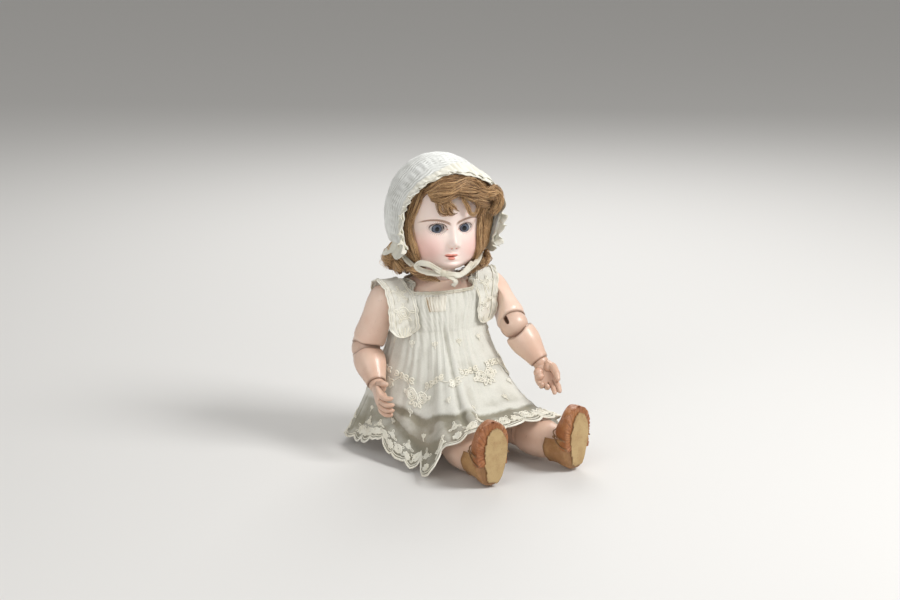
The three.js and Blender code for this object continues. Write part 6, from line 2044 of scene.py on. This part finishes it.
    def edge(self, count: int) -> tuple[Array, Array, Array]:
        """The bonnet's edge from one side of the nape over the forehead to the other.

        Args:
            count: How many places.

        Returns:
            The places, the ways ahead off the edge and the ways outward.
        """
        t = np.linspace(-1.0, 1.0, count)
        behind = np.clip((np.abs(t) - 0.7) / 0.3, 0.0, 1.0)
        turn = np.clip(t / 0.7, -1.0, 1.0) * math.radians(self.side_turn)
        along = behind * 0.7
        turn = np.where(behind > 0, np.sign(t) * self.span(along), turn)
        place = self.surface(along, turn, np.full_like(t, 0.3))
        lower = ease(0.0, 0.2, behind)[:, None]
        ahead = (1 - lower) * np.array([0.0, -1.0, -0.12]) + lower * np.array([0.0, 0.0, -1.0])
        outward = places(np.sin(turn), 0.0, np.cos(turn)) * (1 - lower)
        behind_way = places(place[:, 0] / 47.0, (place[:, 1] - self.middle_y) / 47.0, 0.0)
        outward = units(outward + lower * behind_way)
        return place, units(ahead), outward

    def ruffle(self) -> Piece:
        """The frill: a strip gathered onto the edge, narrow over the forehead and full beside the cheeks."""
        count = 760
        place, ahead, outward = self.edge(count)
        run = np.concatenate([[0.0], np.cumsum(np.linalg.norm(np.diff(place, axis=0), axis=1))])
        turn = run / run[-1] * 2 * math.pi * self.ruffles
        turn = turn + 1.1 * np.sin(turn * 0.37 + 1.0) + 0.8 * np.sin(turn * 0.21)
        run_share = np.linspace(-1.0, 1.0, count)
        middle = np.abs(run_share)
        full = np.where(run_share < 0.0, ease(0.16, 0.42, middle), ease(0.36, 0.56, middle))
        flare = 0.12 + full * np.interp(run_share, (-0.72, -0.5, 0.0, 0.5), (0.62, 0.4, 0.3, 0.12))
        deep = ((2.2 + (self.frill - 2.2) * full)
                * (1.0 + 0.2 * np.sin(turn * 0.53 + 0.4) + 0.1 * np.sin(turn * 1.31)))
        side = units(np.gradient(place, axis=0))
        rows = []
        for share in np.linspace(-0.3, 1.0, 17):
            opened = np.maximum(0.0, share)
            wave = np.sin(turn) + 0.35 * np.sin(2 * turn + 0.6) + 0.25 * np.sin(0.5 * turn + 1.0)
            curl = 0.5 * np.sin(opened * 4.0 + turn * 0.5) * opened
            rows.append(place + ahead * (deep * share * (1.0 - 0.16 * opened * np.cos(turn)))[:, None]
                        + outward * (deep * flare * opened**1.3 + (0.7 + 1.7 * full) * opened**0.7 * wave
                                     + curl * full + 0.9)[:, None]
                        + side * ((0.5 + 1.1 * full) * opened * np.cos(turn + 0.5))[:, None])
        piece = Form.rows("bonnet_frill_visual", self.head.axes.out(np.array(rows)), False, None, False)
        Form.thicken(piece, 0.4)
        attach(piece, "head")
        return dress(piece, self.finishes.cotton, "cotton", "bonnet_frill")

    def tape(self, points: Sequence[Sequence[float]], wide: float, thick: float, face: Sequence[float],
             steps: int, twist: float) -> Piece:
        """A soft flat tape along a line in the head's frame.

        Args:
            points: Places that the tape runs through.
            wide: Its width.
            thick: Its thickness.
            face: The way its face looks.
            steps: Places along it.
            twist: How many times it is rolled along its run.

        Returns:
            The tape.
        """
        line = smooth_line(points, steps)
        ahead = units(np.gradient(line, axis=0))
        side = units(np.cross(ahead, face))
        up = np.cross(side, ahead)
        share = np.linspace(0.0, 1.0, steps)
        roll = 2 * math.pi * twist * share
        one = np.cos(roll)[:, None] * side + np.sin(roll)[:, None] * up
        two = np.cross(one, ahead)
        around = ring_angles(24)
        size = wide * (1.0 + 0.08 * np.sin(share * 21.0))
        rows = [np.broadcast_to(line[0], (24, 3))]
        for k in range(steps):
            x = size[k] / 2 * np.sign(np.cos(around)) * np.abs(np.cos(around)) ** 0.7
            crease = 0.28 * np.sin(x * 2.6 + share[k] * 18.0) + 0.2 * np.sin(x * 5.0)
            y = thick / 2 * np.sign(np.sin(around)) * np.abs(np.sin(around)) ** 0.8 + crease
            rows.append(line[k] + x[:, None] * one[k] + y[:, None] * two[k])
        rows.append(np.broadcast_to(line[-1], (24, 3)))
        return Form.rows("tape", self.head.axes.out(np.array(rows)), True)

    def tie(self) -> Piece:
        """The tape tie, knotted under the chin with its bow to the doll's right."""
        at = np.array(self.knot)
        left = [(-41, -12, 186), (-38.5, -18, 174), (-29.3, -26, 164.5), (-19.3, -35, 161.4), at]
        right = [at, at + (8, 0.6, -4), (5.2, -37.5, 159), (14.7, -35, 163), (22.7, -31.4, 167),
                 (29, -26, 172), (33, -18, 182)]
        loop = at + [(0, 0, 0), (-6, -3.2, 4), (-14, -2.8, 9.4), (-21, 1.2, 10.4), (-23.5, 4, 7.2),
                     (-19, 2, 3.6), (-9, -1.6, 0.8), (0, 0, 0)]
        short = at + [(0, 0, 0), (6, -3.2, -3.4), (11, -3.4, -8.2), (8.5, -2.4, -12)]
        tail = at + [(0, 0, 0), (7, -3, -1), (15, -3, -2.4), (22, -1, 0.8), (30, 3.6, 6.4)]
        runs = ((left, 4.8, 1.3, 60, 0.12), (right, 4.9, 1.3, 70, 0.16), (loop, 5.0, 1.2, 70, 0.06),
                (short, 4.8, 1.2, 34, 0.1), (tail, 4.8, 1.2, 50, 0.12))
        pieces = [self.tape(points, wide, thick, (0.0, -1.0, 0.25), steps, twist)
                  for points, wide, thick, steps, twist in runs]
        knot = Form.ball("knot", self.head.axes.out(at + (0.0, -0.8, 0.0)), 3.2, 24)
        piece = Form.join("bonnet_tie_visual", [*pieces, knot])
        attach(piece, "head")
        return dress(piece, self.finishes.tape, "cotton", "bonnet_tie")

    def build(self) -> None:
        """Builds the bonnet."""
        self.crown()
        self.brim()
        self.ruffle()
        self.tie()


@dataclass
class Trimmings:
    """The dress's bindings, pleated inset, sleeve flaps and embroidery."""

    finishes: Finishes
    gown: Gown
    middle: float = -14.0
    lift: float = 0.4
    thread: float = 0.48
    garland_step: float = 29.5
    sprig_step: float = 27.0
    flower_step: float = 6.5
    flap_rows: int = 190
    flap_columns: int = 72

    def on_cloth(self, angle: float, share: float, marks: Array) -> Array:
        """A flat motif laid on the cloth, in millimetres across and down from a place on it."""
        a, s = math.radians(angle), share
        here = self.gown.plain(np.array([a, a + 0.01, a]), np.array([s, s, s + 0.01]))
        per_a = np.linalg.norm(here[1] - here[0]) / 0.01
        per_s = np.linalg.norm(here[2] - here[0]) / 0.01
        return self.gown.finished(a + marks[:, 0] / per_a, s + marks[:, 1] / per_s, -self.lift)

    def rose(self, size: float, turn: float) -> list[Array]:
        """A rose: rings of petals round a coiled heart."""
        t = np.linspace(0.0, 2 * math.pi, 34)
        marks = []
        for ring, petals in ((0.34, 3), (0.66, 5), (1.0, 6)):
            far = size * ring * (0.9 + 0.12 * np.abs(np.sin(petals * (t + turn) / 2)))
            marks.append(places(far * np.cos(t), far * np.sin(t)))
        return marks

    def leaf(self, x: float, y: float, long: float, turn: float) -> Array:
        """A leaf's outline, from its stem."""
        t = np.linspace(0.0, 1.0, 9)
        half = 0.24 * long * np.sin(math.pi * t) ** 0.8
        out = np.concatenate([places(long * t, half), places(long * t, -half)[::-1]])
        c, s = math.cos(turn), math.sin(turn)
        return places(x + out[:, 0] * c - out[:, 1] * s, y + out[:, 0] * s + out[:, 1] * c)

    def wreath(self, far: float, long: float, turns: Sequence[float]) -> list[Array]:
        """Leaves of one length that stand out round a flower, at angles in degrees."""
        return [self.leaf(far * math.cos(way), far * math.sin(way), long, way) for way in np.radians(turns)]

    def sprig(self) -> list[Array]:
        """A small sprig of three leaves on a stem."""
        return self.wreath(0.0, 3.6, (-130, -90, -50)) + [np.array([[0.0, 0.0], [0.1, 1.4], [0.0, 2.8]])]

    def motif(self, angle: float, share: float, marks: Sequence[Array]) -> list[Array]:
        """Several marks laid on the cloth at one place."""
        return [self.on_cloth(angle, share, mark) for mark in marks]

    def garland(self, angle: Array) -> Array:
        """How far down the cloth the garland hangs at angles, in degrees."""
        return 0.285 + 0.038 * np.cos(2 * math.pi * (angle - self.middle) / self.garland_step)

    def stitches(self, start: float, stop: float) -> tuple[list[Array], list[Array]]:
        """All the embroidery between two angles.

        Args:
            start: The first angle, in degrees.
            stop: The last angle.

        Returns:
            Fine lines and bold lines, about the spine.
        """
        angle = np.linspace(start + 0.5, stop - 0.5, int((stop - start) * 2.2))
        fine = [self.gown.finished(np.radians(angle), self.garland(angle), -self.lift)]
        bold: list[Array] = []
        dense = np.radians(np.linspace(start + 0.3, stop - 0.3, int((stop - start) * 5)))
        for share, lines in ((1.0, bold), (0.985, fine), (0.955, fine)):
            lines.append(self.gown.finished(dense, np.full_like(dense, share), -self.lift))
        self.on_garland(start, stop, fine, bold)
        step = self.sprig_step
        for row, (share, shift) in enumerate(((0.03, 0.0), (0.46, 7.0), (0.60, 20.0))):
            for at in np.arange(math.ceil((start + 4) / step) * step + shift - step, stop - 4, step):
                if at > start + 4:
                    fine += self.motif(at, share + 0.03 * math.sin(at * 0.7 + row), self.sprig())
        self.on_hem(start, stop, fine, bold)
        return fine, bold

    def on_garland(self, start: float, stop: float, fine: list[Array], bold: list[Array]) -> None:
        """Adds the garland's paired roses, rosettes and leaves between two angles."""
        step = self.garland_step
        first = math.ceil((start + 3 - self.middle) / step * 2) / 2
        for k in np.arange(first, (stop - 3 - self.middle) / step, 0.5):
            at = self.middle + k * step
            low = float(self.garland(np.array([at]))[0])
            if abs(k - round(k)) > 0.01:
                spots = ((28, 0), (-28, 0), (152, 0), (208, 0), (24, 6), (156, -6), (-24, 6), (204, -6))
                bold += self.motif(at, low,
                                   [self.leaf(x, 0.0, 4.8, math.radians(turn)) for turn, x in spots])
            elif round(k) % 2:
                for aside, size in ((-5.4, 5.1), (5.4, 4.9)):
                    bold += self.motif(at, low, [mark + (aside, 0.0) for mark in self.rose(size, aside)])
                spots = ((150, -9, -1), (200, -9, 1), (30, 9, -1), (-20, 9, 1), (90, 0, 5.4),
                         (55, 2.4, 5.4), (125, -2.4, 5.4))
                bold += self.motif(at, low,
                                   [self.leaf(x, y, 5.0, math.radians(turn)) for turn, x, y in spots])
            else:
                bold += self.motif(at, low, self.wreath(0.0, 5.4, (20, 55, 125, 160, -30, -150)))
                fine += self.motif(at, low, self.rose(2.6, 0.0))

    def on_hem(self, start: float, stop: float, fine: list[Array], bold: list[Array]) -> None:
        """Adds the hem's roses, leaf stars and small roses between two angles."""
        step = self.flower_step
        for k, at in enumerate(np.arange(math.ceil((start + 3) / step) * step, stop - 3, step)):
            if k % 2 == 0:
                bold += self.motif(at, 0.85, self.rose(4.7, at))
                fine += self.motif(at, 0.85, self.wreath(4.7, 4.2, (35, 145, 215, 325)))
                continue
            bold += self.motif(at, 0.87, self.wreath(0.0, 4.6, (-100, -60, -20, 20, 60, 100, 160, 200)))
            if abs(0.73 - float(level(self.gown.slip_line, at))) >= 0.08:
                fine += self.motif(at, 0.73, self.rose(2.8, at) + self.wreath(2.8, 4.0, (20, 160, -90)))

    def embroidery(self, name: str, start: float, stop: float) -> Piece:
        """One panel's embroidery as raised thread."""
        fine, bold = self.stitches(start, stop)
        pieces = [Form.strands("fine", fine, self.thread),
                  Form.strands("bold", bold, self.thread * 1.5, None, 1)]
        return dress(Form.join(name, pieces), self.finishes.thread, "net")

    def inset(self) -> Piece:
        """The fan of pleats let in at the neck, with brown painted shade along its folds and its edges sunk
        under the net.
        """
        a, s = np.meshgrid(np.radians(np.linspace(-33.0, -6.0, 160)), np.linspace(-0.48, -0.92, 50),
                           indexing="xy")
        u, v = (a - a.min()) / np.ptp(a), (s - s.min()) / np.ptp(s)
        fan = 1.0 - 0.25 * v
        run = (u + 0.04 * v) * 8.0
        pleat = (run % 1.0) ** 1.6
        inside = ease(0.0, 0.08, np.minimum(u, 1.0 - u)) * ease(0.0, 0.1, np.minimum(v, 1.0 - v))
        angle = np.radians(-19.0) + (a - np.radians(-19.0)) * fan
        out = -0.7 + inside * (0.95 + 0.45 * pleat)
        points = (self.gown.finished(angle.ravel(), s.ravel(), 0.0)
                  + self.gown.outward(angle.ravel(), s.ravel()) * out.reshape(-1, 1))
        # Painted shade: brown lines in the pleats' valleys, strongest over the first pleats, with a broader
        # band lower down.
        strong = 0.35 + 0.65 * bell(u - 0.2, 0.16)
        dark = strong * bell(run % 1.0 - 0.06, 0.16) + 0.55 * bell(run - 1.4, 0.3) * ease(0.05, 0.3, v)
        tone = grey(0.9 - 0.9 * np.clip(dark, 0.0, 1.0))
        piece = Form.rows("dress_inset", points.reshape(*a.shape, 3), False, {"tone": tone}, False)
        Form.face_from(piece, self.gown.heart)
        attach(piece, "torso")
        return dress(piece, self.finishes.inset, "net")

    def bindings(self) -> Piece:
        """The corded binding of the neck and the armholes."""
        a = np.radians(np.linspace(0.0, 360.0, 181))
        neck = self.gown.finished(a, np.full_like(a, -0.995), -0.5)
        lines = [neck, neck + (0.0, 0.0, -1.5)]
        y0, z0, ry, rz = self.gown.armhole
        for side in Side:
            turn = np.linspace(0.0, 2 * math.pi, 90)
            y, z = y0 + ry * np.cos(turn), z0 + rz * np.sin(turn)
            lines.append(places(side.sign * self.side_reach(y, z), y, z))
        piece = Form.strands("dress_bindings", lines, 0.85, None, 2)
        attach(piece, "torso")
        return dress(piece, self.finishes.tape, "net")

    def side_reach(self, y: Array, z: Array) -> Array:
        """How far out the dress's side stands at places round the armhole."""
        section = through(self.gown.yoke, np.clip(z, self.gown.chest_z, self.gown.neck_z))
        depth = np.where(y < 0.0, section[:, 1], section[:, 2])
        return section[:, 0] * np.sqrt(np.maximum(0.0, 1.0 - (y / depth) ** 2))

    def on_flap(self, side: Side, t: Array, c: Array, lift: float = 0.0) -> Array:
        """Places on a shoulder's lace flap.

        Args:
            side: Which shoulder.
            t: From -1 at the front end over the shoulder to 1 at the back end.
            c: From -1 at the neck to 1 at the arm.
            lift: How far outside the lace.

        Returns:
            A place for each pair.
        """
        right = side is Side.RIGHT
        half = np.interp(t, [-1.0, -0.6, 0.0, 1.0],
                         (13.2, 11.8, 10.5, 10.0) if right else (12.0, 11.5, 9.4, 8.5))
        lane = np.interp(t, [-1.0, -0.5, 0.0, 0.5, 1.0],
                         (45.5, 46.5, 50.5, 46.0, 42.0) if right else (34.0, 37.5, 47.0, 45.0, 42.0))
        drop = 29.0 if right else 24.0
        over = 18.6 + lift
        bend = np.clip(np.abs(t) / 0.5, 0.0, 1.0) * math.pi / 2
        fall = np.clip((np.abs(t) - 0.5) / 0.5, 0.0, 1.0)
        end = np.sqrt(np.maximum(0.0, 1.0 - np.clip((fall - 0.55) / 0.45, 0.0, 1.0) ** 2.2))
        scallop = 1.0 + 0.07 * np.abs(np.sin(t * 24.0)) * np.abs(c) ** 3
        x = lane + c * half * np.maximum(end, 0.03) * scallop
        y = over * np.sin(bend) + fall * 4.0
        z = 134.0 + over * np.cos(bend) - fall * drop
        section = through(self.gown.yoke, np.clip(z, self.gown.chest_z, self.gown.neck_z))
        depth = np.where(t < 0.0, section[:, 1], section[:, 2])
        cloth = depth * np.sqrt(np.maximum(0.0, 1.0 - np.minimum(1.0, x / section[:, 0]) ** 2))
        y = np.maximum(y, np.where(fall > 0.0, cloth + 2.6 + lift, y))
        z = np.maximum(z, np.where(np.abs(t) < 0.5, self.shoulder_top(x, y) + 1.4 + lift, z))
        ruffle = 0.9 * bell(c - 0.78, 0.14) * (1.0 + 0.6 * np.sin(t * 44.0)) * ease(-0.95, -0.8, t)
        ripple = (0.7 * np.sin(t * 26.0 + c * 2.0) * np.abs(c) ** 2
                  + 0.4 * np.cos(c * 19.0) * ease(0.45, 1.0, fall) + ruffle)
        return places(side.sign * x, np.where(t < 0.0, -1.0, 1.0) * (y + ripple * np.sin(bend)),
                      z + ripple * np.cos(bend))

    def flap(self, side: Side) -> Piece:
        """A lace flap over one shoulder, corded and scalloped, with a rose worked on its front."""
        shape = (self.flap_rows, self.flap_columns, 3)
        run, cross = np.linspace(-1.0, 1.0, shape[0]), np.linspace(-1.0, 1.0, shape[1])
        t, c = (m.ravel() for m in np.meshgrid(run, cross, indexing="ij"))
        shade = (0.85 - 0.4 * bell(c - 0.56, 0.07) - 0.25 * bell(np.abs(c) - 0.84, 0.05)
                 + 0.12 * np.sin(t * 37.0 + c * 5.0))
        tone = grey(np.clip(shade, 0.0, 1.0)).reshape(shape)
        piece = Form.rows(f"sleeve_flap_{side.value}", self.on_flap(side, t, c).reshape(shape), False,
                          {"tone": tone}, False)
        Form.thicken(piece, 0.4)
        lines = [self.on_flap(side, run, np.full_like(run, at), 0.3)
                 for at in (-1.0, -0.87, 0.62, 0.87, 1.0)]
        for at in (-0.62, -0.4, -0.15, 0.15, 0.4):
            short = np.linspace(-0.985, -0.86, 12)
            lines.append(self.on_flap(side, short, np.full_like(short, at), 0.3))
        for middle, size in ((-0.64, 5.2), (-0.34, 3.4)):
            leaves = self.wreath(size, 4.0, np.degrees((0.4, 1.6, 2.9, 4.0, 5.2)))
            for mark in self.rose(size, 0.5) + leaves:
                lines.append(self.on_flap(side, middle + mark[:, 1] / 58.0, -0.1 + mark[:, 0] / 11.5, 0.4))
        trim = Form.strands(f"sleeve_trim_{side.value}", lines, 0.5, None, 1)
        for soft in (piece, trim):
            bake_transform(soft)
        dress(trim, self.finishes.thread, "net")
        return dress(piece, self.finishes.lace, "net", f"sleeve_{side.value}")

    def shoulder_top(self, x: Array, y: Array) -> Array:
        """How high the dress stands over the shoulder."""
        heights = np.linspace(self.gown.chest_z, self.gown.neck_z, 60)
        rows = through(self.gown.yoke, heights)
        top = np.full_like(x, self.gown.chest_z)
        for height, (half, front, _) in zip(heights, rows):
            top = np.where((x / half) ** 2 + (y / front) ** 2 < 1.0, height, top)
        return top

    def build(self) -> None:
        """Builds the trimmings."""
        self.inset()
        self.bindings()
        for side in Side:
            self.flap(side)
        for side, start, stop in self.gown.fronts:
            self.gown.bend_with_hip(self.embroidery(f"embroidery_front_{side.value}", start, stop), side)
        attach(self.embroidery("embroidery_back", self.gown.side_seam, 360.0 - self.gown.side_seam),
                "torso")


@dataclass
class Trunk:
    """The composition trunk, smoothed from the frame's own."""

    finishes: Finishes
    voxel: float = 1.1
    wear_and_shade: float = 0.04

    def build(self) -> None:
        """Builds the trunk."""
        source = bpy.data.objects["torso"]
        piece = source.copy()
        piece.data = source.data.copy()
        piece.name = piece.data.name = "torso_visual"
        piece.parent = None
        piece.matrix_world = source.matrix_world
        bpy.context.collection.objects.link(piece)
        piece.hide_render = piece.hide_viewport = False
        Form.only(piece)
        bpy.ops.object.transform_apply(location=True, rotation=True, scale=True)
        Form.fuse(piece, self.voxel, 8)
        Form.mark(piece, "wear_and_shade", np.full((len(piece.data.vertices), 3), self.wear_and_shade))
        for key in [key for key in piece.keys() if key.startswith("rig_")]:
            del piece[key]
        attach(piece, "torso")
        dress(piece, self.finishes.composition, "composition", "torso")


class Studio:
    """The plain floor, soft light and camera."""

    picture = (900.0, 600.0)
    centre = (459.3, 330.0)
    focal = 2164.4
    sensor = 36.0
    azimuth = math.radians(-28.0)
    elevation = math.radians(15.0)
    distance = 1.9
    target = (0.0, -40.0, 110.0)

    def __init__(self) -> None:
        """Sets the view's transform and builds the stage."""
        scene = bpy.context.scene
        scene.view_settings.view_transform = "Standard"
        self.floor()
        self.lights()
        self.camera()

    def floor(self) -> None:
        """A wide pale floor."""
        bpy.ops.object.select_all(action="DESELECT")
        bpy.ops.mesh.primitive_plane_add(size=12.0, location=(0.0, 0.0, -0.0002))
        floor = bpy.context.object
        floor.name = "floor"
        floor.data.materials.append(Plain("floor", (0.72, 0.71, 0.69), 0.85).make())

    def lights(self) -> None:
        """Soft lamps and a pale world."""
        world_light = bpy.data.worlds.new("studio")
        bpy.context.scene.world = world_light
        world_light.use_nodes = True
        world_light.node_tree.nodes["Background"].inputs[0].default_value = (1.0, 0.985, 0.96, 1.0)
        world_light.node_tree.nodes["Background"].inputs[1].default_value = 0.35
        for name, place, size, power in (
                ("key", (0.75, -0.9, 1.25), 0.6, 20.0), ("fill", (-1.2, -0.9, 0.8), 1.2, 7.5),
                ("rim", (0.6, 0.9, 1.0), 0.8, 8.0)):
            lamp = bpy.data.lights.new(name, "AREA")
            lamp.energy = power
            lamp.size = size
            made = bpy.data.objects.new(name, lamp)
            made.location = place
            made.rotation_euler = (Vector((0.0, -0.05, 0.12))
                                   - Vector(place)).to_track_quat("-Z", "Y").to_euler()
            bpy.context.collection.objects.link(made)

    def camera(self) -> None:
        """A camera at the photograph's angle."""
        level_part = math.cos(self.elevation)
        away = Vector((math.sin(self.azimuth) * level_part, -math.cos(self.azimuth) * level_part,
                       math.sin(self.elevation)))
        wide, high = self.picture
        data = bpy.data.cameras.new("camera")
        data.sensor_width = self.sensor
        data.lens = self.focal / wide * self.sensor
        data.shift_x = -(self.centre[0] - wide / 2) / wide
        data.shift_y = (self.centre[1] - high / 2) / wide
        data.clip_end = 50.0
        made = bpy.data.objects.new("camera", data)
        made.location = Vector(world(np.array(self.target))) + away * self.distance
        made.rotation_euler = (-away).to_track_quat("-Z", "Y").to_euler()
        bpy.context.collection.objects.link(made)
        bpy.context.scene.camera = made


def main() -> None:
    """Builds the doll, its clothes and the stage."""
    logging.basicConfig(level=logging.INFO, format="%(name)s %(message)s")
    np.random.seed(SEED)
    finishes = Finishes()
    Trunk(finishes).build()
    head = Head(finishes)
    head.build()
    Wig(finishes, head).build()
    Bonnet(finishes, head).build()
    legs = tuple(Leg(finishes, side) for side in Side)
    for side, leg in zip(Side, legs):
        Arm(finishes, side).build()
        leg.build()
    gown = Gown(finishes, legs=legs)
    gown.build()
    Trimmings(finishes, gown).build()
    Studio()


if __name__ == "__main__":
    main()
